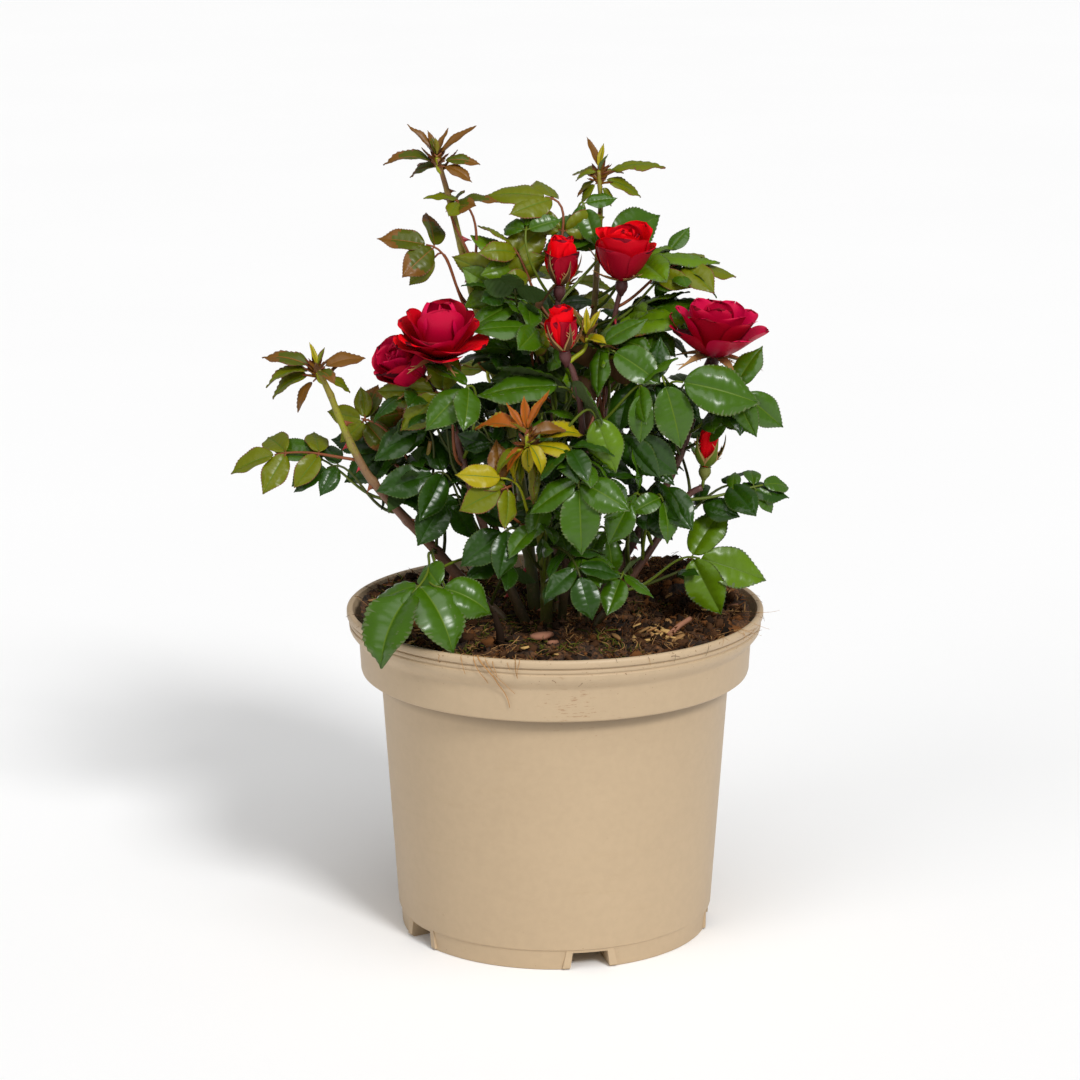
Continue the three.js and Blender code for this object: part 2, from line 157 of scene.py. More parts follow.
# name: base colour, roughness, specular
TINTS = {
    # the darkest blade tint is partly the lower leaves' own colour and partly painted shade for the
    # shaded inside of the crown
    "leaf_deep": ((0.008, 0.027, 0.001), 0.28, 0.32),
    "leaf_dark": ((0.016, 0.054, 0.001), 0.28, 0.40),
    "leaf_mid": ((0.042, 0.108, 0.001), 0.28, 0.42),
    "leaf_fresh": ((0.095, 0.180, 0.002), 0.30, 0.36),
    "leaf_olive": ((0.130, 0.150, 0.002), 0.32, 0.25),
    "leaf_moss": ((0.070, 0.085, 0.002), 0.32, 0.25),
    "leaf_yellow": ((0.330, 0.270, 0.003), 0.38, 0.20),
    "leaf_bronze": ((0.165, 0.070, 0.008), 0.36, 0.22),
    "leaf_copper": ((0.330, 0.085, 0.006), 0.38, 0.20),
    "leaf_wine": ((0.120, 0.028, 0.012), 0.36, 0.22),
    "edge_dark": ((0.040, 0.062, 0.004), 0.40, 0.15),
    "edge_red": ((0.150, 0.045, 0.010), 0.40, 0.15),
    "rib_green": ((0.022, 0.070, 0.004), 0.40, 0.2),
    "rib_pale": ((0.085, 0.150, 0.008), 0.40, 0.2),
    "rib_red": ((0.200, 0.085, 0.012), 0.40, 0.2),
    "under_green": ((0.050, 0.092, 0.022), 0.52, 0.2),
    "under_grey": ((0.095, 0.135, 0.045), 0.55, 0.2),
    "under_wine": ((0.170, 0.080, 0.035), 0.48, 0.2),
    "under_olive": ((0.230, 0.195, 0.022), 0.48, 0.2),
    "stalk_moss": ((0.050, 0.062, 0.008), 0.45, 0.3),
    "stalk_green": ((0.110, 0.150, 0.010), 0.42, 0.3),
    "stalk_lime": ((0.290, 0.310, 0.008), 0.40, 0.3),
    "stalk_red": ((0.220, 0.065, 0.022), 0.42, 0.3),
    "hip_purple": ((0.095, 0.030, 0.030), 0.40, 0.3),
    "hip_green": ((0.150, 0.160, 0.030), 0.42, 0.3),
    "sepal_tan": ((0.400, 0.230, 0.085), 0.60, 0.2),
    "sepal_brown": ((0.100, 0.042, 0.016), 0.60, 0.2),
    "sepal_green": ((0.105, 0.150, 0.012), 0.50, 0.2),
    "petal_scarlet": ((0.820, 0.001, 0.007), 0.55, 0.08),
    "petal_red": ((0.560, 0.001, 0.010), 0.52, 0.10),
    "petal_crimson": ((0.340, 0.001, 0.014), 0.50, 0.12),
    "petal_magenta": ((0.500, 0.001, 0.036), 0.46, 0.16),
    "petal_rose": ((0.620, 0.002, 0.060), 0.44, 0.18),
    "petal_wine": ((0.190, 0.001, 0.010), 0.55, 0.10),
    "petal_dark": ((0.060, 0.002, 0.006), 0.60, 0.10),
    "prickle_red": ((0.420, 0.030, 0.040), 0.38, 0.4),
    "prickle_tan": ((0.420, 0.150, 0.080), 0.42, 0.4),
    "crumb_black": ((0.008, 0.006, 0.004), 0.95, 0.1),
    "crumb_dark": ((0.022, 0.012, 0.007), 0.92, 0.1),
    "crumb_brown": ((0.070, 0.031, 0.013), 0.90, 0.1),
    "crumb_rust": ((0.150, 0.058, 0.018), 0.90, 0.1),
    "crumb_tan": ((0.310, 0.170, 0.065), 0.85, 0.1),
    "crumb_moss": ((0.050, 0.055, 0.008), 0.92, 0.1),
    "fibre_tan": ((0.430, 0.230, 0.090), 0.75, 0.1),
    "fibre_dark": ((0.090, 0.045, 0.024), 0.80, 0.1),
    "fibre_moss": ((0.110, 0.120, 0.014), 0.85, 0.1),
    "chip_pale": ((0.580, 0.360, 0.130), 0.72, 0.1),
    "chip_pink": ((0.360, 0.165, 0.100), 0.72, 0.1),
}
KINDS = list(TINTS)
NUMBER = {name: number for number, name in enumerate(KINDS)}
tint_materials = {name: plain(name, *TINTS[name]) for name in KINDS}

# What a leaf is coloured with: the blade near its foot, the blade towards its tip and sides,
# the edge, the rib, the underside and the stalk
LEAF_AGES = {
    # deep: leaves low in the crown, dark partly by their own colour and partly by painted shade
    "deep": ("leaf_deep", "leaf_deep", "leaf_deep", "rib_green", "under_green", "stalk_moss"),
    "dark": ("leaf_dark", "leaf_dark", "edge_dark", "rib_green", "under_green", "stalk_moss"),
    "mid": ("leaf_mid", "leaf_mid", "edge_dark", "rib_pale", "under_grey", "stalk_green"),
    "fresh": ("leaf_fresh", "leaf_fresh", "edge_dark", "rib_pale", "under_grey", "stalk_green"),
    "olive": ("leaf_olive", "leaf_olive", "edge_red", "rib_pale", "under_wine", "stalk_red"),
    "yellow": ("leaf_yellow", "leaf_yellow", "leaf_bronze", "rib_pale", "under_olive", "stalk_lime"),
    "bronze": ("leaf_moss", "leaf_bronze", "leaf_wine", "rib_red", "under_wine", "stalk_red"),
    "copper": ("leaf_bronze", "leaf_bronze", "leaf_wine", "rib_red", "under_wine", "stalk_red"),
    "orange": ("leaf_copper", "leaf_copper", "leaf_wine", "rib_red", "under_olive", "stalk_red"),
    "wine": ("leaf_bronze", "leaf_wine", "leaf_wine", "rib_red", "under_wine", "stalk_red"),
}


# ------------------------------------------------------------------ mesh making


def grid_faces(rows, columns, ring=False):
    """Four-cornered faces of a grid of points, rows by columns; a ring joins its ends."""
    across = columns if ring else columns - 1
    r, c = np.meshgrid(np.arange(rows - 1), np.arange(across), indexing="ij")
    near, far = c, (c + 1) % columns
    below, above = r * columns, (r + 1) * columns
    corners = (below + near, below + far, above + far, above + near)
    return np.stack(corners, -1).reshape(-1, 4)


def fan_faces(ring, centre, flip=False):
    """Triangles from a ring of points to its centre; their fourth corner is -1."""
    after = np.roll(ring, -1)
    pair = (after, ring) if flip else (ring, after)
    return np.stack([*pair, np.full(len(ring), centre), np.full(len(ring), -1)], -1)


def mesh_from(name, points, faces):
    """A smooth mesh from points in millimetres and faces of three or four corners."""
    mesh = bpy.data.meshes.new(name)
    used = faces >= 0
    counts = used.sum(1)
    mesh.vertices.add(len(points))
    mesh.vertices.foreach_set("co", (points * MM).astype(np.float32).ravel())
    mesh.loops.add(int(counts.sum()))
    mesh.loops.foreach_set("vertex_index", faces[used].astype(np.int32))
    mesh.polygons.add(len(faces))
    mesh.polygons.foreach_set("loop_start", (np.cumsum(counts) - counts).astype(np.int32))
    mesh.polygons.foreach_set("loop_total", counts.astype(np.int32))
    mesh.update(calc_edges=True)
    mesh.shade_smooth()
    return mesh


def new_object(name, data):
    """An object that is linked to the scene."""
    obj = bpy.data.objects.new(name, data)
    bpy.context.scene.collection.objects.link(obj)
    return obj


def add_piece(name, mesh, materials, replaced=()):
    """An object that rides with the plant and stands for some CAD nodes."""
    obj = new_object(name, mesh)
    for mat in materials:
        mesh.materials.append(mat)
    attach(obj, "root")
    if replaced:
        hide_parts(*replaced)


class Pile:
    """Small meshes of one kind, joined into pieces that stay under the triangle limit."""

    LIMIT = 185_000

    def __init__(self, name, slot):
        self.name = name
        self.slot = slot
        self.batches = []
        self.replaced = []

    def add(self, points, faces, kinds):
        """points in mm, faces of 3 or 4 corners, and a tint's name or one number a face."""
        if isinstance(kinds, str):
            kinds = np.full(len(faces), NUMBER[kinds])
        triangles = int((faces >= 0).sum() - 2 * len(faces))
        if not self.batches or self.batches[-1]["triangles"] + triangles > self.LIMIT:
            self.batches.append({"points": [], "faces": [], "kinds": [], "count": 0, "triangles": 0})
        batch = self.batches[-1]
        batch["points"].append(points)
        batch["faces"].append(np.where(faces >= 0, faces + batch["count"], -1))
        batch["kinds"].append(kinds)
        batch["count"] += len(points)
        batch["triangles"] += triangles

    def build(self):
        for number, batch in enumerate(self.batches, 1):
            kinds = np.concatenate(batch["kinds"])
            used, local = np.unique(kinds, return_inverse=True)
            name = f"{self.name}_{number}"
            mesh = mesh_from(name, np.concatenate(batch["points"]), np.concatenate(batch["faces"]))
            mesh.polygons.foreach_set("material_index", local.astype(np.int32))
            materials = [tint_materials[KINDS[kind]] for kind in used]
            add_piece(name, mesh, materials, self.replaced if number == 1 else ())
            print(f"{name}: {batch['triangles']} triangles")


leaves = Pile("leaves", "leaf")
young_leaves = Pile("young_leaves", "leaf_young")
stalks = Pile("leaf_stalks", "bark_green")
petals = Pile("petals", "petal")
sepals = Pile("sepals", "leaf_young")
prickles = Pile("prickles", "bark_purple")
crumbs = Pile("compost_crumbs", "compost")
fibres = Pile("compost_fibres", "compost")


def tube_mesh(path, radii, sides):
    """Points and faces of a closed tube along a path."""
    path = np.asarray(path, dtype=float)
    count = len(path)
    radii = np.broadcast_to(radii, count)
    tangents = np.gradient(path, axis=0)
    normal = square_up(unit(tangents[0]), vec(0.31, 0.52, 0.79))
    turns = np.arange(sides) * 2 * math.pi / sides
    rings = []
    for place in range(count):
        along = unit(tangents[place])
        normal = square_up(along, normal)
        side = np.cross(along, normal)
        ring = np.outer(np.cos(turns), normal) + np.outer(np.sin(turns), side)
        rings.append(path[place] + ring * radii[place])
    points = np.concatenate(rings + [path[:1], path[-1:]])
    first, last = np.arange(sides), np.arange(sides) + (count - 1) * sides
    caps = (fan_faces(first, count * sides, flip=True), fan_faces(last, count * sides + 1))
    return points, np.concatenate([grid_faces(count, sides, ring=True), *caps])


def tube(pile, path, radii, kind, sides=6):
    points, faces = tube_mesh(path, radii, sides)
    pile.add(points, faces, kind)


# ---------------------------------------------------------------------- leaflet

# rows along a blade, and places from its rib to its edge on both faces
FINE = {"rows": 36, "top": (0, 0.035, 0.34, 0.67, 0.95, 1), "under": (0, 0.5, 1)}
PLAIN = {"rows": 26, "top": (0, 0.045, 0.48, 0.94, 1), "under": (0, 0.5, 1)}
SMALL = {"rows": 20, "top": (0, 0.07, 0.5, 0.93, 1), "under": (0, 0.5, 1)}


def both_sides(splits):
    """Places across a blade, from its left edge (-1) to its right edge (1)."""
    return np.array([-s for s in reversed(splits)] + list(splits[1:]))


def blade(pile, base, axis, up, length, width, age, rng, fold=0.25, arch=0.6, curl=0.25,
          detail=FINE, bend=0.0, quilt=0.026):
    """One toothed leaflet: an upper sheet with sunk veins, and a paler underside."""
    up = square_up(axis, up)
    side = np.cross(axis, up)
    rows = detail["rows"]
    v = np.linspace(0, 1, rows + 1)
    fullness = lerp(0.60, 1.12, smoothstep(v, 0.30, 0.97))
    outline = np.sin(np.pi * np.clip(v, 0, 1) ** 0.86) ** fullness
    outline[-1] = 0.0
    angle = arch * v**1.2
    step = length / rows
    run = np.concatenate([[0], np.cumsum(np.cos(angle[:-1]))]) * step
    fall = np.concatenate([[0], np.cumsum(np.sin(angle[:-1]))]) * step
    odd = (np.arange(rows + 1) % 2).astype(float)
    phases = rng.uniform(0, 6.28), rng.uniform(0, 6.28)
    ripple = rng.uniform(0.010, 0.028) * length

    def sheet(splits, drop):
        u = both_sides(splits)
        size = np.abs(u)[None, :]
        rim = (size > 0.999).astype(float)
        half = (width / 2 * outline)[:, None]
        across = u[None, :] * half * (1 + rim * (0.045 * odd[:, None] - 0.02))
        rise = np.abs(across) * (fold * (1.1 - 0.6 * v[:, None]))
        rise -= curl * size**2.2 * half
        vein = np.abs(np.sin(np.pi * (7.2 * v[:, None] - 1.5 * size + 0.3)))
        rise += quilt * length * vein * smoothstep(size, 0.0, 0.25) * (1 - smoothstep(size, 0.6, 0.92))
        wave = np.where(u[None, :] > 0, phases[0], phases[1])
        rise += ripple * np.sin(2 * np.pi * 2.2 * v[:, None] + wave) * size**2
        rise -= drop * (1 - size**8) * np.minimum(1, outline[:, None] * 3)
        forward = run[:, None] + rim * odd[:, None] * 0.45 * step
        across = across + bend * length * v[:, None] ** 2
        lift = np.cos(angle)[:, None, None] * up + np.sin(angle)[:, None, None] * axis
        points = base + forward[..., None] * axis - fall[:, None, None] * up
        points = points + across[..., None] * side + rise[..., None] * lift
        return points.reshape(-1, 3), len(u)

    inner_tint, outer_tint, edge_tint, rib_tint, under_tint, _ = LEAF_AGES[age]
    points, columns = sheet(detail["top"], 0.0)
    kinds = np.full((rows, columns - 1), NUMBER[inner_tint])
    edges = np.abs(both_sides(detail["top"]))
    reach = (np.arange(rows)[:, None] + 0.5) / rows + 0.35 * (edges[1:] + edges[:-1])[None, :] / 2
    kinds[reach + 0.03 * (np.arange(rows)[:, None] % 2) > 0.80] = NUMBER[outer_tint]
    kinds[:, [0, -1]] = NUMBER[edge_tint]
    middle = (columns - 1) // 2
    kinds[: rows - 3, middle - 1 : middle + 1] = NUMBER[rib_tint]
    pile.add(points, grid_faces(rows + 1, columns), kinds.ravel())
    points, columns = sheet(detail["under"], 0.45)
    pile.add(points, grid_faces(rows + 1, columns)[:, ::-1], under_tint)


def compound_leaf(path, up, size, count, age, rng, pile=None, spread=66, narrow=0.56, fold=None,
                  arch=None, detail=FINE, thick=0.62, keep=None):
    """A stalk along path with a leaflet at its end and pairs of leaflets down it."""
    pile = pile or leaves
    total = arc_lengths(path)[-1]
    up = square_up(point_at(path, total)[1], up)
    radii = np.linspace(thick * 1.35, thick * 0.75, len(path))
    tube(stalks, path, radii, LEAF_AGES[age][5])
    gap = size * rng.uniform(0.10, 0.30)
    for rank in range((count - 1) // 2 + 1):
        back = 0 if rank == 0 else gap + size * 0.62 * (rank - 1)
        if back > total - 1:
            break
        place, along = point_at(path, total - back)
        over = square_up(along, up)
        scale = size * (1, 0.92, 0.76, 0.60)[rank] * rng.uniform(0.92, 1.05)
        for hand in ((0,) if rank == 0 else (-1, 1)):
            angle = math.radians(spread * rng.uniform(0.85, 1.12)) * hand
            tilt = rng.uniform(-0.2, 0.2)
            leaflet_axis = unit(turned(along, over, -angle) - over * rng.uniform(0.0, 0.22))
            start = place + leaflet_axis * (1.2 if rank else 0.4)
            leaflet_up = turned(over, leaflet_axis, tilt + 0.12 * hand)
            if keep and not keep(start + leaflet_axis * scale * 0.55):
                continue
            if rank:
                tube(stalks, [place, lerp(place, start, 0.5), start + leaflet_axis], thick * 0.6,
                     LEAF_AGES[age][5], 5)
            blade(
                pile, start, leaflet_axis, leaflet_up, scale, scale * narrow * rng.uniform(0.92, 1.1),
                age, rng,
                fold=rng.uniform(0.10, 0.60) if fold is None else fold,
                arch=rng.uniform(0.30, 1.25) if arch is None else arch,
                curl=rng.uniform(0.1, 0.55),
                detail=detail,
                bend=rng.uniform(-0.05, 0.05),
            )


def stipules(base, axis, up, size, age, rng):
    """The two narrow wings at the foot of a leaf stalk."""
    for hand in (-1, 1):
        side = np.cross(axis, square_up(axis, up)) * hand
        out = unit(axis + side * 0.35)
        blade(young_leaves, base, out, up, size, size * 0.28, age, rng, fold=0.3, arch=0.3,
              detail=SMALL, quilt=0)


# ------------------------------------------------------------------------ limbs

CANES = {
    # cane: bark, mass it feeds, where its tip lies in that mass's box, tip radius
    "cane_left": ("tan", "shoot_left", (-0.08, 0.0, -0.02), 1.2),
    "spur_left": ("green", "crown_left", (0.05, -0.4, 0.9), 0.9),
    "cane_tall": ("green", "shoot_tall", (0.02, 0.0, 0.20), 1.0),
    "cane_top_right": ("tan", "shoot_top_right", (-0.40, 0.0, 0.00), 0.9),
    "cane_flower_top": ("purple", "flower_top", (-0.10, 0.0, -0.72), 1.2),
    "cane_flower_middle": ("purple", "flower_middle", (-0.10, 0.0, -0.82), 1.3),
    "cane_flower_front": ("purple", "flower_front", (0.20, 0.0, -0.90), 1.2),
    "cane_green": ("green", "crown_front", (-0.30, -0.50, 0.72), 1.1),
    "cane_flower_left": ("purple", "flower_left", (0.05, -0.05, -0.55), 1.1),
    "cane_left_back": ("tan", "crown_left_back", (0.1, 0.0, 0.55), 1.1),
    "cane_flower_right": ("purple", "flower_right", (-0.10, 0.0, -0.75), 1.1),
    "cane_bud_right": ("purple", "bud_right", (-0.35, 0.0, -0.70), 1.4),
    "cane_back_left": ("tan", "crown_back_left", (0.0, 0.1, 0.5), 1.2),
    "cane_back_right": ("tan", "crown_back_right", (0.0, 0.1, 0.5), 1.2),
    "cane_back_top": ("green", "crown_back_top", (0.0, 0.0, 0.5), 1.2),
}
SLICE = 4.0
# the real canes' thickness as a share of the solids'
GIRTH = 0.70
GIRTHS = {"cane_tall": 0.82, "cane_green": 0.90, "cane_top_right": 0.80}


def measured_cane(node):
    """Centres and radii of a cane solid, slice by slice from its foot."""
    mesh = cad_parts[node].data
    points = np.array([v.co for v in mesh.vertices]) / MM
    edges = np.array([e.vertices[:] for e in mesh.edges])
    a, b = points[edges[:, 0]], points[edges[:, 1]]
    low, high = points[:, 2].min(), points[:, 2].max()
    top = high - min(5, 0.3 * (high - low))
    centres, radii = [], []
    for level in np.linspace(low + 0.6, top, max(3, int((top - low) / SLICE))):
        crossing = (a[:, 2] - level) * (b[:, 2] - level) < 0
        start, end = a[crossing], b[crossing]
        share = ((level - start[:, 2]) / (end[:, 2] - start[:, 2]))[:, None]
        cut = lerp(start, end, share)
        centre = (cut.min(0) + cut.max(0)) / 2
        spread = np.linalg.eigh(np.cov((cut - centre)[:, :2].T))[1]
        widths = np.ptp((cut - centre)[:, :2] @ spread, axis=0)
        centres.append(centre)
        radii.append(widths.min() / 2)
    return np.array(centres), np.array(radii)


def smoothed(values, rounds=3):
    """Values evened out with their neighbours; the ends stay."""
    values = values.copy()
    for _ in range(rounds):
        values[1:-1] = (values[:-2] + 2 * values[1:-1] + values[2:]) / 4
    return values


def resampled(path, radii, step):
    """A path and its radii at even steps."""
    lengths = arc_lengths(path)
    places = np.linspace(0, lengths[-1], max(4, int(lengths[-1] / step)))
    columns = [np.interp(places, lengths, path[:, i]) for i in range(3)]
    return np.stack(columns, -1), np.interp(places, lengths, radii)


Limb = namedtuple("Limb", "name bark path radii")


def grown_cane(node):
    """A cane along its solid, carried on into its mass."""
    bark, mass, place, tip_radius = CANES[node]
    centres, radii = measured_cane(node)
    centres, radii = smoothed(centres), smoothed(radii) * GIRTHS.get(node, GIRTH)
    tip = in_box(mass, *place)
    along = unit(centres[-1] - centres[-3])
    reach = np.linalg.norm(tip - centres[-1])
    rest = bezier(centres[-1], centres[-1] + along * reach * 0.4, lerp(centres[-1], tip, 0.75), tip, 8)
    foot = centres[:1] - vec(0, 0, 3)
    path = np.concatenate([foot, centres, rest[1:]])
    ends = np.linspace(radii[-1], tip_radius, len(rest))[1:]
    path, radii = resampled(path, np.concatenate([radii[:1], radii, ends]), 1.6)
    return Limb(node, bark, smoothed(path), smoothed(radii))


limbs = [grown_cane(node) for node in CANES]


def limb_mesh(limb, sides=16):
    """The limb's skin: swollen nodes with leaf scars, ribs along it and a flared foot."""
    path, radii = limb.path, limb.radii
    lengths = arc_lengths(path)
    rng = random.Random(limb.name)
    nodes = []
    place = rng.uniform(8, 16)
    while place < lengths[-1] - 6:
        nodes.append((place, rng.uniform(0, 6.28)))
        place += rng.uniform(14, 26)
    points, faces = tube_mesh(path, radii, sides)
    ring_points = points[: len(path) * sides].reshape(len(path), sides, 3)
    turns = np.arange(sides) * 2 * math.pi / sides
    scale = np.ones((len(path), sides))
    for place, where in nodes:
        near = np.exp(-(((lengths - place) / 1.8) ** 2))[:, None]
        facing = 0.5 + 0.5 * np.cos(turns - where)[None, :]
        scale += near * (0.07 + 0.22 * facing**3)
    scale += 0.25 * np.exp(-lengths / 3.0)[:, None]
    ribs = 0.020 * np.sin(5 * turns[None, :] + lengths[:, None] * 0.05)
    for i in range(len(path)):
        for j in range(sides):
            ribs[i, j] += 0.035 * noise.noise(Vector(ring_points[i, j]) * 0.45)
    scale += ribs
    centres = path[:, None, :]
    ring_points = centres + (ring_points - centres) * scale[..., None]
    points[: len(path) * sides] = ring_points.reshape(-1, 3)
    age = np.repeat(lengths / lengths[-1], sides)
    return points, faces, np.concatenate([age, [0, 1]])


def nearest_limb(target, rng, near=12, far=95, ideal=38):
    """The limb point that a leaf at target would most naturally grow from."""
    best = None
    for limb in limbs:
        offsets = target - limb.path
        distance = np.linalg.norm(offsets, axis=1)
        cost = np.abs(distance - ideal) + np.maximum(0, limb.path[:, 2] - target[2] - 4) * 1.5
        cost += np.where((distance < near) | (distance > far), 60, 0)
        cost += np.where(limb.path[:, 2] < 150, 25, 0)
        outer = np.linalg.norm(limb.path[:, :2], axis=1) - np.linalg.norm(target[:2])
        cost += np.maximum(0, outer) * 1.2
        place = int(np.argmin(cost))
        value = cost[place] + rng.uniform(0, 6)
        if best is None or value < best[0]:
            best = (value, limb, place)
    return best[1], best[2]


# --------------------------------------------------------------------- foliage

CENTRE = vec(0, 5, 225)  # the middle of the crown
CLOSE = 7.5  # leaflets nearer than this crowd each other
MASSES = [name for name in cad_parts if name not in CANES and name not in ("pot", "soil")]
mass_trees = {name: bvh_of([name]) for name in MASSES}


def inside(point, slack=2.0):
    """Whether a point lies in some foliage mass, or within slack of one."""
    where = Vector(point)
    for tree in mass_trees.values():
        spot, normal, _, distance = tree.find_nearest(where)
        if spot is None:
            continue
        if distance < slack or (spot - where).dot(normal) > 0:
            return True
    return False


def leaf_samples(joint, axis, up, size, count):
    """Points on the blades of a leaf that would be placed here."""
    side = np.cross(axis, up)
    samples = [joint + axis * size * 0.5, joint + axis * size]
    for rank in range(1, (count - 1) // 2 + 1):
        start = joint - axis * size * (0.2 + 0.62 * (rank - 1))
        for hand in (-1, 1):
            samples.append(start + (axis * 0.4 + side * hand * 0.9) * size * 0.45)
            samples.append(start + (axis * 0.4 + side * hand * 0.9) * size * 0.85)
    return samples


placed = []  # points on the blades that are already there


def crowding(points):
    """How many of these points lie close to a leaflet that is already there."""
    if not placed:
        return 0
    spots = np.array(placed)
    return sum(float(np.linalg.norm(spots - p, axis=1).min() < CLOSE) for p in points)


def grow_leaf(joint, axis, up, size, count, age, rng, **more):
    """A leaf whose last joint is at a point, on a stalk that leaves the nearest cane."""
    limb, place = nearest_limb(joint, rng)
    root = limb.path[place]
    along = unit(limb.path[min(place + 2, len(limb.path) - 1)] - limb.path[max(place - 2, 0)])
    reach = np.linalg.norm(joint - root)
    out = unit(square_up(along, joint - root) * 0.9 + along * 0.55)
    path = bezier(root, root + out * reach * 0.4, joint - axis * reach * 0.38, joint, 14)
    placed.extend(leaf_samples(joint, axis, square_up(axis, up), size, count)[0::2])
    compound_leaf(path, up, size, count, age, rng, **more)


def age_and_shade_at(height, rng):
    """Leaves are younger and paler higher up; lower down they are darker, partly by their own older
    colour and partly as painted shade.
    """
    if height > 305:
        return rng.choice(("olive", "olive", "fresh", "mid"))
    if height > 255:
        return rng.choice(("mid", "mid", "dark", "fresh", "olive"))
    # low in the crown the darker tints are partly painted shade
    return rng.choice(("dark", "dark", "deep", "mid"))


def fill_mass(name, count, size):
    """Leaves with their blades inside a mass, pointing outward and hanging a little."""
    rng = random.Random("fill " + name)
    low, high = box_mm(name)
    tree = mass_trees[name]
    done = 0
    for _ in range(count * 14):
        if done == count:
            break
        joint = lerp(low, high, vec(rng.random(), rng.random(), rng.random()))
        spot, normal = tree.find_nearest(Vector(joint))[:2]
        if (spot - Vector(joint)).dot(normal) < 0:
            continue
        best = None
        for _ in range(10):
            outward = unit((joint - CENTRE) * vec(1, 1, 0.55))
            axis = unit(outward + vec(rng.gauss(0, 0.45), rng.gauss(0, 0.45), rng.gauss(-0.25, 0.35)))
            up = square_up(axis, UP * 0.9 + outward * 0.75 + vec(rng.gauss(0, 0.3), rng.gauss(0, 0.3), 0))
            leaf_size = size * rng.uniform(0.8, 1.15)
            samples = leaf_samples(joint - axis * leaf_size * 0.35, axis, up, leaf_size, 5)
            kept = sum(inside(p) for p in samples) / len(samples)
            value = kept - 0.12 * crowding(samples) / 2
            if best is None or value > best[0]:
                best = (value, axis, up, leaf_size, kept)
        axis, up, leaf_size, kept = best[1:]
        if kept < 0.55:
            continue
        leaflets = rng.choice((5, 5, 5, 3))
        grow_leaf(joint - axis * leaf_size * 0.35, axis, up, leaf_size, leaflets,
                  age_and_shade_at(joint[2], rng), rng, keep=lambda p: inside(p, 3.0), detail=PLAIN)
        done += 1
    return done


# ----------------------------------------------------------------- young shoots

FACING = {"front": vec(0, -0.85, 0.45), "half": vec(0, -0.60, 0.80), "up": vec(0, -0.30, 0.95)}

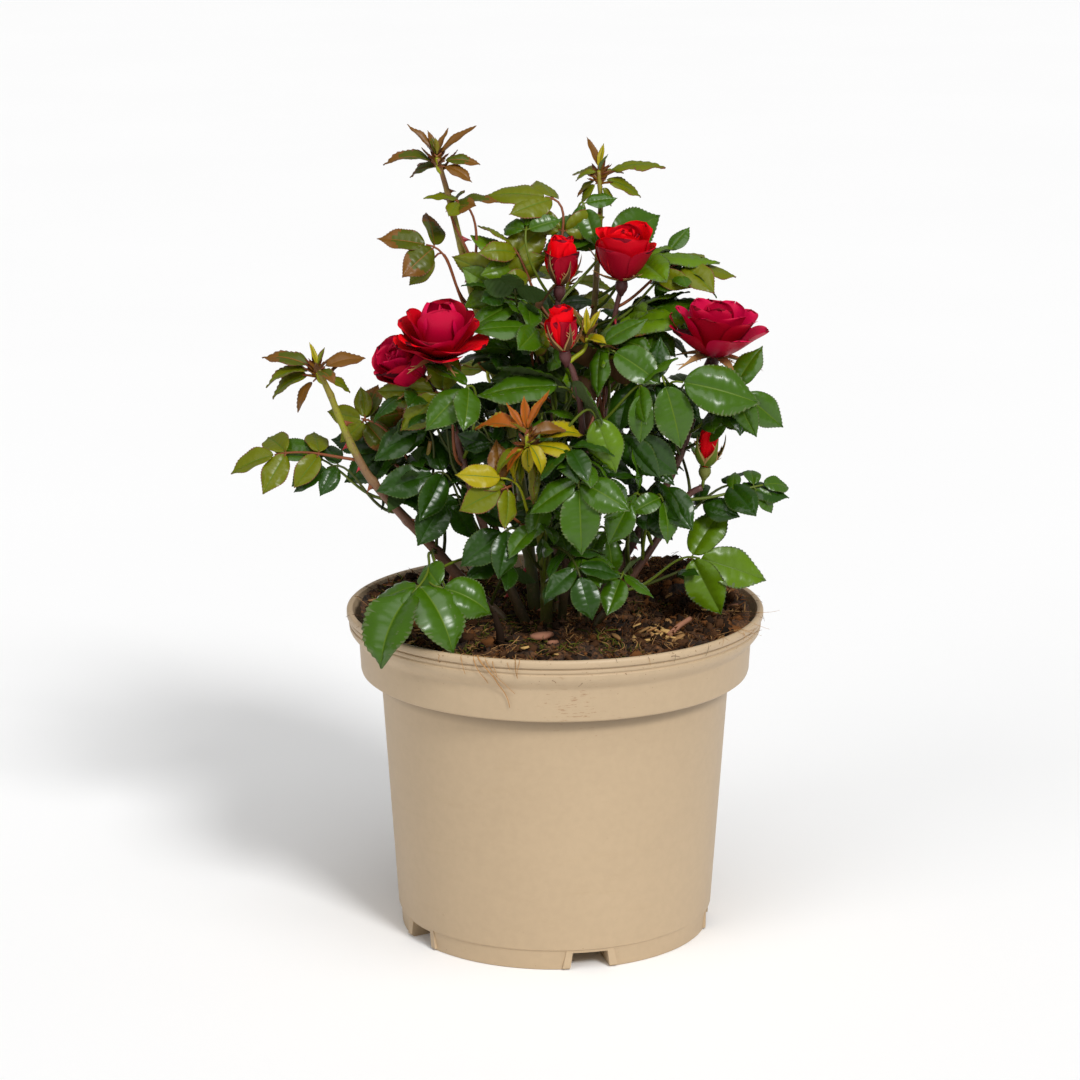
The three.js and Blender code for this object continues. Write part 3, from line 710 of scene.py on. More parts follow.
# A shoot's tiers: drop below its tip, heading, pitch, stalk, leaflet length, leaflets, age, fold.
# Headings run from +X (0) to the front (-90) and the left (180); millimetres and degrees.
SHOOTS = {
    "tall": ("shoot_tall", (0.0, 0.0, 0.22), (
        (0, 175, 54, 2, 17, 1, "copper", 0.9), (0, -5, 46, 3, 19, 1, "copper", 0.9),
        (0, 150, 80, 1, 12, 1, "bronze", 1.0), (0, 20, 78, 1, 13, 1, "copper", 1.0),
        (0, -90, 84, 1, 9, 1, "yellow", 1.0), (3, 188, 26, 3, 18, 1, "bronze", 0.4),
        (3, -12, 24, 4, 13, 1, "bronze", 0.5), (4, -35, 4, 4, 13, 1, "copper", 0.5),
        (2, 90, 35, 4, 14, 1, "olive", 0.5), (5, 115, 12, 5, 14, 3, "bronze", 0.5),
        (6, 200, 62, 1, 12, 1, "wine", 0.8), (8, 10, 70, 1, 11, 1, "wine", 0.8),
    )),
    "left": ("shoot_left", (-0.10, 0.0, 0.0), (
        (0, 130, 76, 1, 11, 1, "yellow", 1.0), (0, 20, 74, 1, 9, 1, "olive", 1.0),
        (0, 60, 60, 1, 9, 1, "wine", 1.0), (1, 172, 32, 4, 19, 1, "bronze", 0.5),
        (2, 183, 14, 4, 19, 1, "olive", 0.5), (3, 190, -2, 4, 18, 1, "olive", 0.4),
        (4, 202, -38, 3, 13, 1, "copper", 0.5), (1, 8, 26, 4, 16, 1, "copper", 0.6),
        (4, 0, -8, 4, 12, 1, "olive", 0.4), (2, -70, 22, 3, 12, 1, "bronze", 0.5),
        (3, 90, 12, 4, 15, 3, "bronze", 0.5), (6, 150, 58, 1, 12, 1, "yellow", 0.8),
        (8, 20, 66, 1, 12, 1, "wine", 0.8),
    )),
    "top_right": ("shoot_top_right", (-0.40, 0.0, 0.02), (
        (-4, 125, 66, 2, 14, 1, "copper", 1.0), (0, 60, 80, 1, 11, 1, "yellow", 1.0),
        (1, -60, 76, 1, 10, 1, "fresh", 1.0), (1, 176, 14, 1, 9, 1, "olive", 0.5),
        (4, 186, -16, 2, 10, 1, "bronze", 0.4), (5, 192, -32, 2, 10, 1, "olive", 0.4),
        (2, 4, 20, 6, 21, 3, "olive", 0.4), (4, -4, -4, 3, 15, 1, "olive", 0.4),
        (6, -20, -46, 2, 8, 1, "olive", 0.4), (3, 90, 14, 6, 16, 3, "olive", 0.4),
        (8, 160, 66, 1, 10, 1, "wine", 0.9),
    )),
    "closed": ("shoot_small", (0.20, 0.0, -0.85), (
        (0, 165, 70, 0, 20, 1, "fresh", 1.1), (0, 95, 82, 0, 18, 1, "wine", 1.1),
        (0, -20, 76, 0, 13, 1, "yellow", 1.0), (1, -60, 70, 0, 12, 1, "fresh", 1.0),
    )),
    "orange": ("crown_front", (-0.30, -0.50, 0.72), (
        (0, 168, 24, 4, 19, 1, "orange", 0.7), (0, 100, 66, 2, 16, 1, "orange", 0.9),
        (0, 20, 68, 2, 19, 1, "orange", 0.9), (1, -120, 50, 2, 13, 1, "orange", 0.9),
        (1, 150, 60, 2, 15, 1, "orange", 0.9), (2, 0, 30, 2, 14, 1, "copper", 0.8),
        (4, -40, -30, 2, 12, 1, "yellow", 0.8), (6, 190, -50, 2, 14, 1, "yellow", 0.7),
        (7, -90, -55, 1, 11, 1, "yellow", 0.8), (8, -150, -30, 2, 12, 1, "orange", 0.7),
        (9, 0, -55, 2, 15, 1, "yellow", 0.6), (5, 10, 24, 6, 19, 1, "yellow", 0.6),
        (12, 200, -20, 3, 15, 1, "olive", 0.6), (16, -20, 10, 4, 17, 1, "yellow", 0.5),
        (13, 186, -60, 3, 13, 1, "olive", 0.5), (8, 4, -70, 8, 17, 1, "olive", 0.5),
    )),
    "beside_bud": ("flower_front", (1.1, 0.6, -0.25), (
        (0, 150, 72, 1, 15, 1, "bronze", 1.0), (0, 100, 82, 1, 13, 1, "yellow", 1.0),
        (0, 30, 74, 1, 14, 1, "yellow", 1.0), (0, -60, 60, 1, 11, 1, "bronze", 0.9),
        (2, -50, 36, 1, 10, 1, "yellow", 0.8), (3, 180, 30, 2, 10, 1, "bronze", 0.7),
    )),
    "back_top": ("crown_back_top", (0.1, 0.2, 0.75), (
        (0, 150, 72, 1, 14, 1, "copper", 1.0), (0, 60, 70, 1, 14, 1, "bronze", 1.0),
        (1, 170, 25, 4, 16, 3, "olive", 0.5), (2, 80, 20, 4, 16, 3, "bronze", 0.5),
        (3, 0, 15, 4, 15, 3, "olive", 0.5),
    )),
    "back_left": ("crown_back_left", (-0.2, 0.3, 0.7), (
        (0, 150, 72, 1, 12, 1, "copper", 1.0), (0, 60, 70, 1, 12, 1, "bronze", 1.0),
        (1, 140, 25, 4, 15, 3, "olive", 0.5), (2, 80, 20, 4, 15, 3, "bronze", 0.5),
    )),
}


def grow_shoot(name, rng):
    """A growing tip: folded young leaves and spikes, each at its own drop below the tip."""
    mass, place, tiers = SHOOTS[name]
    tip = in_box(mass, *place)
    limb, start = nearest_limb(tip, rng, near=0, far=60, ideal=8)
    root = limb.path[start]
    if np.linalg.norm(root - tip) > 2.5:
        rise = (tip - root) * 0.4
        stem = bezier(root, root + rise, tip - UP * 8, tip, 12)
        tube(stalks, stem, np.linspace(1.15, 0.8, 12), "stalk_lime", 8)
    else:
        stem = limb.path
    length = arc_lengths(stem)[-1]
    for drop, turn, pitch, stalk, size, count, age, fold in tiers:
        foot = tip if drop <= 0 else point_at(stem, length - drop)[0]
        direction = heading(turn + rng.uniform(-6, 6), pitch)
        back = heading(turn) * 0.9 * math.sin(math.radians(pitch))
        up = square_up(direction, UP * 1.2 + FACING["front"] * 0.7 - back)
        joint = foot + direction * max(stalk, 0.6)
        path = bezier(foot, lerp(foot, joint, 0.4) + UP * 0.3, lerp(foot, joint, 0.7), joint, 6)
        lean = rng.uniform(0.1, 0.3) if pitch > 45 else rng.uniform(0.6, 1.1)
        narrow, size = (0.27, size) if pitch > 45 else (0.50, size * 1.18)
        compound_leaf(path, up, size, count, age, rng, pile=young_leaves, spread=40, narrow=narrow,
                      fold=fold, arch=lean, detail=SMALL, thick=0.42)
        if pitch < 45 and stalk >= 2:
            stipules(foot, unit(direction + UP * 1.2), up, rng.uniform(6, 9), "wine", rng)


# ----------------------------------------------------------------------- blooms


def petal(base, axis, radial, length, width, lean, cup, reflex, faces, rng, bowl=0.6, rows=14,
          columns=15):
    """One petal: lean is its angle from the axis at the foot and at the tip, in degrees."""
    t = np.linspace(0, 1, rows + 1)
    v = t * (1.62 - 0.62 * t)
    u = np.linspace(-1, 1, columns)
    bloom = v**0.45 * np.sqrt(np.maximum(1e-4, 1 - np.clip((v - 0.52) / 0.48, 0, 1) ** 2.4))
    half = width / 2 * np.maximum(bloom, 0.10 * (1 - v))
    angle = np.radians(lerp(lean[0], lean[1], v**bowl) + reflex * smoothstep(v, 0.62, 1.0))
    step = np.diff(v) * length
    run = np.concatenate([[0], np.cumsum(np.sin(angle[1:]) * step)])
    rise = np.concatenate([[0], np.cumsum(np.cos(angle[1:]) * step)])
    side = np.cross(axis, radial)
    tangent = np.sin(angle)[:, None] * radial + np.cos(angle)[:, None] * axis
    inward = np.cos(angle)[:, None] * -radial + np.sin(angle)[:, None] * axis
    turn = np.clip(u[None, :] * half[:, None] / cup, -2.1, 2.1)
    phase = rng.uniform(0, 6.28)
    wave = 0.022 * length * np.sin(3.6 * u[None, :] + phase) * smoothstep(v, 0.5, 1)[:, None]
    roll = -0.0012 * reflex * length * np.abs(u[None, :]) ** 3 * smoothstep(v, 0.35, 0.9)[:, None]
    lift = (1 - np.cos(turn)) * cup + wave + roll
    notch = -0.030 * length * np.exp(-((u / 0.25) ** 2)) * smoothstep(v, 0.8, 1)[:, None]
    fray = 0.014 * length * np.sin(8 * u[None, :] + 2 * phase) * smoothstep(v, 0.85, 1)[:, None]
    centre = base + run[:, None] * radial + rise[:, None] * axis
    points = centre[:, None, :] + (np.sin(turn) * cup)[..., None] * side
    points = points + lift[..., None] * inward[:, None, :]
    points = points + (notch + fray)[..., None] * tangent[:, None, :]
    inner_face, outer_face, edge = faces
    quads = grid_faces(rows + 1, columns)
    front = np.full((rows, columns - 1), NUMBER[inner_face])
    back = np.full((rows, columns - 1), NUMBER[outer_face])
    if edge:
        back[-1, :] = NUMBER[edge]
        first = rng.randrange(0, 6)
        front[-1, first : first + rng.randrange(5, 9)] = NUMBER[edge]
        if edge == "petal_dark" and rng.random() < 0.7:
            start, wide = rng.randrange(2, columns - 6), rng.randrange(2, 4)
            for row in range(rows - rng.randrange(3, 7), rows):
                back[row, start : start + wide] = NUMBER[edge]
                start += rng.choice((0, 0, 1))
    thickness = 0.30 * inward[:, None, :] * (1 - np.abs(u[None, :, None]) ** 4)
    petals.add((points + thickness / 2).reshape(-1, 3), quads[:, ::-1], front.ravel())
    petals.add((points - thickness / 2).reshape(-1, 3), quads, back.ravel())


def whorl(base, axis, count, turn, radius, lift, rng, faces, length, width, lean, fall=0.0, **shape):
    """Petals set evenly round an axis. The tips of the front ones open by fall more degrees."""
    side = square_up(axis, vec(0.2, -1, 0.1))
    for number in range(count):
        out = turned(side, axis, turn + (number + rng.uniform(-0.12, 0.12)) * 2 * math.pi / count)
        front = max(0.0, float(out @ vec(0.1, -1, 0))) ** 1.5
        own_lean = (lean[0] + rng.uniform(-5, 5), lean[1] + rng.uniform(-5, 5) + fall * front)
        petal(base + out * radius + axis * lift, axis, out, length * rng.uniform(0.92, 1.06),
              width * rng.uniform(0.92, 1.08), own_lean, faces=rng.choice(faces), rng=rng, **shape)


# inner face, outer face and stained edge of a petal
REDS = (
    ("petal_scarlet", "petal_red", "petal_wine"),
    ("petal_scarlet", "petal_crimson", "petal_dark"),
    ("petal_scarlet", "petal_red", "petal_wine"),
)
DEEP_REDS = (
    ("petal_red", "petal_crimson", "petal_wine"),
    ("petal_red", "petal_crimson", "petal_dark"),
    ("petal_scarlet", "petal_crimson", "petal_dark"),
)
MAGENTAS = (
    ("petal_rose", "petal_magenta", "petal_wine"),
    ("petal_rose", "petal_crimson", "petal_wine"),
    ("petal_magenta", "petal_crimson", "petal_dark"),
)
HEART = (("petal_red", "petal_magenta", "petal_wine"), ("petal_crimson", "petal_magenta", "petal_wine"))
CORE = (("petal_magenta", "petal_rose", None), ("petal_magenta", "petal_magenta", None))
ROSE = (("petal_magenta", "petal_magenta", "petal_wine"), ("petal_rose", "petal_magenta", None))
BUD = (("petal_scarlet", "petal_scarlet", "petal_wine"), ("petal_red", "petal_scarlet", None))


def hip(base, axis, size, kind, radius=1.0):
    """The swollen cup under a bloom. Returns the place where petals start."""
    profile = ((0, 0.28), (0.15, 0.40), (0.35, 0.66), (0.6, 0.80), (0.82, 0.74), (0.94, 0.66), (1, 0.78))
    path = [base + axis * size * share for share, _ in profile]
    tube(sepals, path, [size * 0.5 * radius * width for _, width in profile], kind, 16)
    return base + axis * size


def sepal_ring(base, axis, length, lean, kinds, rng, radius=1.8, curve=0.0, breadth=0.13):
    """Five long pointed sepals: lean from the axis in degrees at foot, curve is its change."""
    side = square_up(axis, vec(0.5, -1, 0.2))
    rows = 12
    v = np.linspace(0, 1, rows + 1)
    u = np.array([-1, -0.72, 0, 0.72, 1])
    for number in range(5):
        out = turned(side, axis, number * 2 * math.pi / 5 + rng.uniform(-0.15, 0.15))
        angle = np.radians(lean + rng.uniform(-8, 8) + curve * v)
        width = length * breadth * (1 - v) ** 0.8 * (0.8 + 0.5 * np.sin(np.pi * np.clip(v * 1.6, 0, 1)))
        own = length * rng.uniform(0.85, 1.1)
        run = np.cumsum(np.sin(angle)) * own / rows
        rise = np.cumsum(np.cos(angle)) * own / rows
        across = np.cross(axis, out)
        outward = np.cos(angle)[:, None] * out - np.sin(angle)[:, None] * axis
        centre = base + out * radius + run[:, None] * out + rise[:, None] * axis
        points = centre[:, None, :] + (u[None, :] * width[:, None])[..., None] * across
        points = points - (0.45 * width[:, None] * u[None, :] ** 2)[..., None] * outward[:, None, :]
        tints = np.full((rows, 4), NUMBER[kinds[0]])
        tints[:, [0, 3]] = NUMBER[kinds[1]]
        faces = grid_faces(rows + 1, 5)
        sepals.add(points.reshape(-1, 3), faces[:, ::-1], kinds[2])
        sepals.add((points + outward[:, None, :] * 0.25).reshape(-1, 3), faces, tints.ravel())
        for _ in range(5):
            row = rng.randrange(3, 10)
            hand = rng.choice((-1, 1))
            start = points[row, 0 if hand < 0 else -1]
            grow = unit(points[row + 1, 2] - points[row, 2])
            tip = start + (across * hand * 0.9 + grow) * length * rng.uniform(0.06, 0.13)
            lobe = [start, lerp(start, tip, 0.6) + outward[row] * 0.2, tip]
            tube(sepals, lobe, [0.3, 0.2, 0.06], kinds[1], 4)


BROWN_SEPALS = ("sepal_brown", "sepal_tan", "sepal_tan")
GREEN_SEPALS = ("sepal_green", "sepal_tan", "sepal_green")


def open_bloom(base, axis, width, rng, tones, core):
    """A full bloom: a bowl of broad petals round a rolled heart."""
    start = hip(base, axis, width * 0.16, "hip_purple", 1.1)
    sepal_ring(start, axis, width * 0.42, 80, BROWN_SEPALS, rng, curve=12, breadth=0.10)
    s = width / 45
    turn = rng.uniform(0, 6.28)
    whorl(start, axis, 5, turn, 1.8 * s, -0.3, rng, tones, length=24 * s, width=29 * s, lean=(80, 46),
          cup=21 * s, reflex=16, fall=16)
    whorl(start, axis, 5, turn + 0.6, 1.6 * s, 0.6 * s, rng, tones, length=25 * s, width=28 * s,
          lean=(72, 28), cup=17 * s, reflex=14, fall=34)
    whorl(start, axis, 4, turn + 0.2, 1.4 * s, 1.2 * s, rng, HEART, length=26 * s, width=28 * s,
          lean=(66, 12), cup=15 * s, reflex=8, fall=40)
    whorl(start, axis, 3, turn + 0.9, 1.0 * s, 1.8 * s, rng, core, length=28 * s, width=34 * s,
          lean=(74, -18), cup=13.5 * s, reflex=-14)
    whorl(start, axis, 4, turn + 0.4, 0.8 * s, 2.2 * s, rng, core, length=25 * s, width=22 * s,
          lean=(52, -24), cup=9 * s, reflex=-14)
    whorl(start, axis, 3, turn + 0.1, 0.5 * s, 2.4 * s, rng, core, length=22 * s, width=13 * s,
          lean=(28, -20), cup=5 * s, reflex=-6)


def wide_bloom(base, axis, width, rng, tones, core):
    """An older bloom: straight petals spread like a funnel."""
    start = hip(base, axis, width * 0.15, "hip_purple", 1.1)
    sepal_ring(start, axis, width * 0.48, 84, BROWN_SEPALS, rng, curve=25)
    s = width / 45
    turn = rng.uniform(0, 6.28)
    whorl(start, axis, 5, turn, 1.8 * s, -0.3, rng, tones, length=26 * s, width=27 * s, lean=(74, 44),
          cup=21 * s, reflex=8)
    whorl(start, axis, 5, turn + 0.6, 1.6 * s, 0.6 * s, rng, tones, length=27 * s, width=27 * s,
          lean=(60, 28), cup=17 * s, reflex=8)
    whorl(start, axis, 4, turn + 0.2, 1.4 * s, 1.2 * s, rng, core, length=25 * s, width=24 * s,
          lean=(54, 14), cup=12 * s, reflex=8)
    whorl(start, axis, 4, turn + 0.9, 1.0 * s, 1.8 * s, rng, core, length=22 * s, width=19 * s,
          lean=(44, -4), cup=9 * s, reflex=2)
    whorl(start, axis, 3, turn + 0.3, 0.6 * s, 2.2 * s, rng, core, length=19 * s, width=13 * s,
          lean=(30, -10), cup=6 * s, reflex=0)


def cup_bloom(base, axis, width, rng, guard, tones, core):
    """A half-open bloom: a deep bowl of overlapping petals."""
    start = hip(base, axis, width * 0.24, "hip_purple", 1.0)
    sepal_ring(start, axis, width * 0.58, 74, BROWN_SEPALS, rng, curve=-22, breadth=0.10)
    s = width / 30
    turn = rng.uniform(0, 6.28)
    whorl(start, axis, 3, turn, 1.6 * s, 0, rng, guard, length=20.5 * s, width=31 * s, lean=(86, 8),
          cup=14 * s, reflex=14, bowl=0.5)
    whorl(start, axis, 3, turn + 1.0, 1.4 * s, 0.6 * s, rng, tones, length=25 * s, width=32 * s,
          lean=(76, 0), cup=12.5 * s, reflex=18, bowl=0.5)
    whorl(start, axis, 4, turn + 0.5, 1.0 * s, 1.2 * s, rng, core, length=22.5 * s, width=22 * s,
          lean=(60, -4), cup=10 * s, reflex=10, bowl=0.5)
    whorl(start, axis, 4, turn + 1.2, 0.8 * s, 1.6 * s, rng, core, length=21 * s, width=16 * s,
          lean=(44, -8), cup=7 * s, reflex=6, bowl=0.5)
    whorl(start, axis, 3, turn + 0.3, 0.5 * s, 2.0 * s, rng, core, length=20 * s, width=11 * s,
          lean=(26, -10), cup=4.6 * s, reflex=4, bowl=0.5)


def goblet_bud(base, axis, height, rng):
    """A bud that shows colour: petals wrapped round each other, held by long sepals."""
    start = hip(base, axis, height * 0.27, "hip_purple", 0.95)
    s = height / 27
    sepal_ring(start, axis, 15.5 * s, 52, BROWN_SEPALS, rng, radius=1.5, curve=-58, breadth=0.12)
    turn = rng.uniform(0, 6.28)
    whorl(start, axis, 3, turn, 1.3 * s, 0, rng, DEEP_REDS, length=16.5 * s, width=22 * s,
          lean=(62, -2), cup=8.2 * s, reflex=14, bowl=0.45)
    whorl(start, axis, 3, turn + 0.9, 1.0 * s, 0.8 * s, rng, BUD, length=20.5 * s, width=20 * s,
          lean=(50, -6), cup=7 * s, reflex=10, bowl=0.45)
    whorl(start, axis, 3, turn + 0.3, 0.6 * s, 1.4 * s, rng, BUD, length=20.5 * s, width=14 * s,
          lean=(36, -8), cup=5 * s, reflex=6, bowl=0.5)


def closed_bud(base, axis, height, rng):
    """A tight bud: a red tip between long green sepals."""
    start = hip(base, axis, height * 0.24, "hip_green", 1.15)
    s = height / 27
    sepal_ring(start, axis, 17 * s, 50, GREEN_SEPALS, rng, radius=1.6, curve=-60, breadth=0.17)
    whorl(start, axis, 4, 0.4, 1.2 * s, 0, rng, BUD, length=18.5 * s, width=15 * s, lean=(50, -18),
          cup=5.6 * s, reflex=6, bowl=0.5)
    whorl(start, axis, 3, 1.0, 0.7 * s, 0.8 * s, rng, BUD, length=19 * s, width=11 * s, lean=(34, -16),
          cup=4.2 * s, reflex=4, bowl=0.5)


# --------------------------------------------------------------------- prickles


def prickle(limb, share, around, size, kind):
    """A hooked prickle on a limb's skin."""
    place = int(share * (len(limb.path) - 1))
    along = unit(limb.path[min(place + 1, len(limb.path) - 1)] - limb.path[max(place - 1, 0)])
    out = turned(square_up(along, vec(1, 0, 0.01)), along, math.radians(around))
    foot = limb.path[place] + out * limb.radii[place] * 0.7
    tip = foot + out * size - along * size * 0.35
    path = bezier(foot, foot + out * size * 0.4, foot + out * size * 0.8 - along * size * 0.1, tip, 6)
    base = size * 0.30
    rings = [base, base * 0.62, base * 0.40, base * 0.25, base * 0.13, 0.04]
    points, faces = tube_mesh(path, rings, 8)
    stretch = np.outer((points - foot) @ along, along)
    fade = np.clip(1 - ((points - foot) @ out) / size, 0, 1)[:, None]
    prickles.add(points + stretch * fade * 0.9, faces, kind)


# ------------------------------------------------------------------- the plant

FLOWERS = {
    # mass: form, the bloom's foot in the box (across, depth, height), its axis, width or height
    "flower_left": ("open", (0.05, -0.10, -0.80), (0.04, -0.22, 1), 42),
    "flower_right": ("wide", (-0.10, 0.0, -1.22), (0.10, -0.06, 1), 45),
    "flower_top": ("cup", (-0.10, 0.0, -0.86), (0.05, -0.14, 1), 31),
    "flower_middle": ("goblet", (-0.10, 0.0, -0.90), (0.06, -0.08, 1), 28),
    "flower_front": ("goblet", (0.20, 0.0, -1.10), (-0.12, -0.10, 1), 27),
    "bud_right": ("bud", (-0.30, 0.0, -0.50), (0.12, -0.02, 1), 26),
}


def grow_blooms():
    """The six blooms and buds, and a second bloom that hides behind the left one."""
    for name, (form, place, axis, size) in FLOWERS.items():
        rng = random.Random("bloom " + name)
        base = in_box(name, *place)
        axis = unit(vec(*axis))
        if form == "open":
            open_bloom(base, axis, size, rng, DEEP_REDS, CORE)
        elif form == "wide":
            wide_bloom(base, axis, size, rng, MAGENTAS, ROSE)
        elif form == "cup":
            cup_bloom(base, axis, size, rng, DEEP_REDS, REDS, BUD)
        elif form == "goblet":
            goblet_bud(base, axis, size, rng)
        else:
            closed_bud(base, axis, size, rng)
    rng = random.Random("second bloom")
    root = in_box("flower_left", -0.10, 0.30, -1.25)
    stem = next(limb for limb in limbs if limb.name == "cane_flower_left").path[-14]
    route = bezier(stem, stem + vec(-2, 0, 5), root + vec(3, 0, -6), root, 10)
    tube(stalks, route, 1.1, "stalk_red", 8)
    cup_bloom(root, unit(vec(-0.55, -0.30, 0.55)), 28, rng, MAGENTAS, MAGENTAS, CORE)


FEATURES = (
    # mass, joint in its box (across, depth, height), heading, pitch, length, leaflets, age, facing
    ("crown_front", (0.30, -0.75, -0.20), -80, -74, 29, 3, "mid", "front"),
    ("spray_left_rim", (-0.20, -0.55, 0.32), -134, -26, 38, 3, "mid", "up"),
    ("crown_right", (-0.40, -0.75, 0.62), -9, -10, 34, 1, "mid", "front"),
    ("crown_right", (-0.64, -0.72, 0.52), -25, -68, 29, 1, "mid", "front"),
    ("crown_right", (-0.80, -0.30, 0.30), -150, -50, 22, 3, "dark", "front"),
    ("crown_right", (0.45, -0.40, 0.20), 0, -44, 25, 3, "mid", "front"),
    ("crown_right", (-0.95, -0.70, 0.30), -100, -62, 21, 3, "mid", "front"),
    ("crown_front", (0.50, -0.30, 0.95), -50, -67, 25, 1, "fresh", "front"),
    ("crown_front", (0.90, 0.10, 0.50), -12, -41, 28, 3, "dark", "front"),
    ("flower_top", (0.75, 0.60, 0.10), 0, 6, 30, 3, "fresh", "up"),
    ("spray_right_low", (-0.10, -0.10, 0.45), -12, -18, 31, 3, "fresh", "front"),
    ("spray_right", (-0.10, 0.00, 0.10), 0, -8, 25, 5, "dark", "up"),
    ("crown_middle", (0.00, -0.85, -0.60), -172, 2, 36, 3, "mid", "up"),
    ("crown_left_upper", (0.70, -0.90, 0.70), -145, -40, 26, 3, "mid", "front"),
    ("crown_left_upper", (0.15, -0.50, 0.50), 178, -5, 28, 3, "olive", "front"),
    ("crown_left_upper", (-0.20, -0.20, -0.75), -157, -38, 23, 3, "dark", "front"),
    ("crown_front_low", (-0.50, -0.30, 0.75), -150, -34, 25, 5, "dark", "front"),
    ("crown_front_low", (0.80, -0.35, -0.35), -115, -38, 20, 5, "mid", "front"),
    ("crown_front_low", (0.35, -0.80, -0.10), -70, -48, 20, 5, "dark", "front"),
    ("crown_front", (0.90, -0.10, -0.60), -140, -60, 23, 3, "mid", "front"),
    ("spray_top_middle", (0.10, -0.10, 0.35), 178, 3, 26, 5, "olive", "up"),
    ("spray_top_middle", (0.85, 0.00, -0.10), -70, -55, 17, 3, "mid", "front"),
    ("crown_upper_left", (-0.20, 0.00, 0.15), 5, 38, 27, 3, "olive", "front"),
    ("crown_upper_left", (-0.55, 0.00, -0.40), 185, 32, 17, 3, "fresh", "front"),
    ("crown_upper_left", (0.10, -0.40, -0.70), -150, -15, 26, 3, "mid", "up"),
    ("flower_top", (-0.70, 0.90, 0.55), -173, -8, 33, 3, "mid", "up"),
    ("spray_tall_left", (0.50, -0.10, 0.30), -178, 6, 23, 3, "bronze", "half"),
    ("spray_tall_left", (0.70, -0.10, -0.10), -167, -53, 16, 1, "olive", "front"),
    ("shoot_tall", (0.50, 0.00, -0.75), -6, 6, 19, 3, "bronze", "up"),
    ("shoot_tall", (0.40, -0.20, -0.70), -162, 8, 15, 3, "olive", "up"),
    ("spray_left", (-0.15, 0.00, 0.55), 183, -12, 24, 5, "olive", "half"),
    ("spray_left", (0.55, 0.20, 0.45), 170, 14, 20, 3, "mid", "half"),
    ("spray_left", (0.80, -0.20, 0.10), 190, -30, 19, 3, "dark", "half"),
    ("spray_inner_left", (-0.30, -0.40, 0.50), 175, 8, 16, 3, "olive", "front"),
    ("spray_inner_left", (-0.10, -0.20, 0.45), 5, 6, 20, 3, "bronze", "front"),
    ("spray_inner_left", (0.30, 0.20, -0.30), 176, 6, 27, 3, "dark", "front"),
    ("crown_front", (-0.60, -0.40, -0.10), -162, 4, 21, 1, "yellow", "front"),
    ("crown_front", (-0.60, -0.30, -0.20), 100, 78, 19, 1, "copper", "front"),
    ("crown_front", (-0.60, -0.45, -0.30), -167, -20, 21, 3, "olive", "front"),
    ("crown_upper_right", (-0.60, -0.50, -0.10), -12, 8, 37, 3, "fresh", "up"),
    ("crown_upper_right", (0.00, -0.60, -0.20), -45, -34, 18, 3, "mid", "front"),
    ("crown_upper_right", (0.30, -0.20, 0.40), 10, 15, 24, 3, "mid", "up"),
    ("crown_middle", (-0.35, -0.55, 0.55), -160, 4, 26, 3, "mid", "up"),
    ("crown_middle", (0.70, -0.80, 0.10), -30, -25, 26, 3, "mid", "front"),
    ("spray_top_right", (0.10, 0.00, 0.10), 12, -12, 22, 5, "olive", "up"),
    ("crown_left", (0.10, -0.60, 0.20), -160, -20, 28, 5, "dark", "front"),
    ("crown_left", (0.30, -0.50, -0.50), -120, -40, 24, 5, "dark", "front"),
    ("crown_right_low", (0.10, -0.60, 0.30), -60, -40, 25, 5, "dark", "front"),
    ("spray_left_rim", (0.25, -0.35, 0.36), -12, -6, 27, 1, "mid", "half"),
    ("spray_left_rim", (0.20, -0.30, 0.38), 128, 32, 20, 1, "mid", "half"),
)


def grow_features():
    """The leaves that stand out, each with its own place and way of hanging."""
    for number, (mass, place, turn, pitch, size, count, age, face) in enumerate(FEATURES):
        rng = random.Random(f"feature {number}")
        axis = heading(turn, pitch)
        up = FACING[face] + vec(rng.gauss(0, 0.12), rng.gauss(0, 0.1), rng.gauss(0, 0.1))
        pile = young_leaves if age in ("copper", "bronze", "yellow", "wine") else leaves
        at_rim = mass == "spray_left_rim"
        grow_leaf(in_box(mass, *place), axis, up, size, count, age, rng, pile=pile,
                  arch=1.15 if at_rim else rng.uniform(0.3, 0.6), narrow=0.72 if at_rim else 0.60)


def grow_shoots():
    for name in SHOOTS:
        grow_shoot(name, random.Random("shoot " + name))


FILL = {
    # mass: leaves, leaflet length
    "spray_inner_left": (1, 18),
    "spray_top_middle": (1, 18),
    "spray_top_right": (2, 18),
    "spray_right": (1, 20),
    "spray_right_low": (1, 19),
    "crown_upper_left": (6, 20),
    "crown_upper_right": (5, 20),
    "crown_right": (3, 21),
    "crown_middle": (15, 22),
    "crown_left_upper": (8, 20),
    "crown_left": (7, 21),
    "crown_front": (10, 20),
    "crown_front_low": (8, 20),
    "crown_right_low": (5, 19),
    "crown_left_back": (7, 22),
    "crown_right_back": (5, 20),
    "crown_back_left": (15, 24),
    "crown_back_right": (15, 24),
    "crown_back_top": (11, 23),
    "crown_back_low": (10, 24),
}


def grow_foliage():
    for name, (count, size) in FILL.items():
        done = fill_mass(name, count, size)
        print(f"{name}: {done} of {count} leaves")


def grow_prickles():
    """Prickles along every cane, closer on the two that stand clear of the leaves."""
    rng = random.Random("prickles")
    for limb in limbs:
        open_cane = limb.name in ("cane_left", "cane_tall")
        number = max(2, int(arc_lengths(limb.path)[-1] / (10 if open_cane else 24)))
        for i in range(number):
            share = (i + rng.uniform(0.2, 0.8)) / number
            if share > 0.93:
                continue
            around = rng.choice((0, 180)) + rng.gauss(0, 40) if open_cane else rng.uniform(0, 360)
            size = rng.uniform(2.6, 4.4) if open_cane else rng.uniform(2.0, 3.4)
            prickle(limb, share, around, size, rng.choice(("prickle_red", "prickle_tan", "stalk_red")))


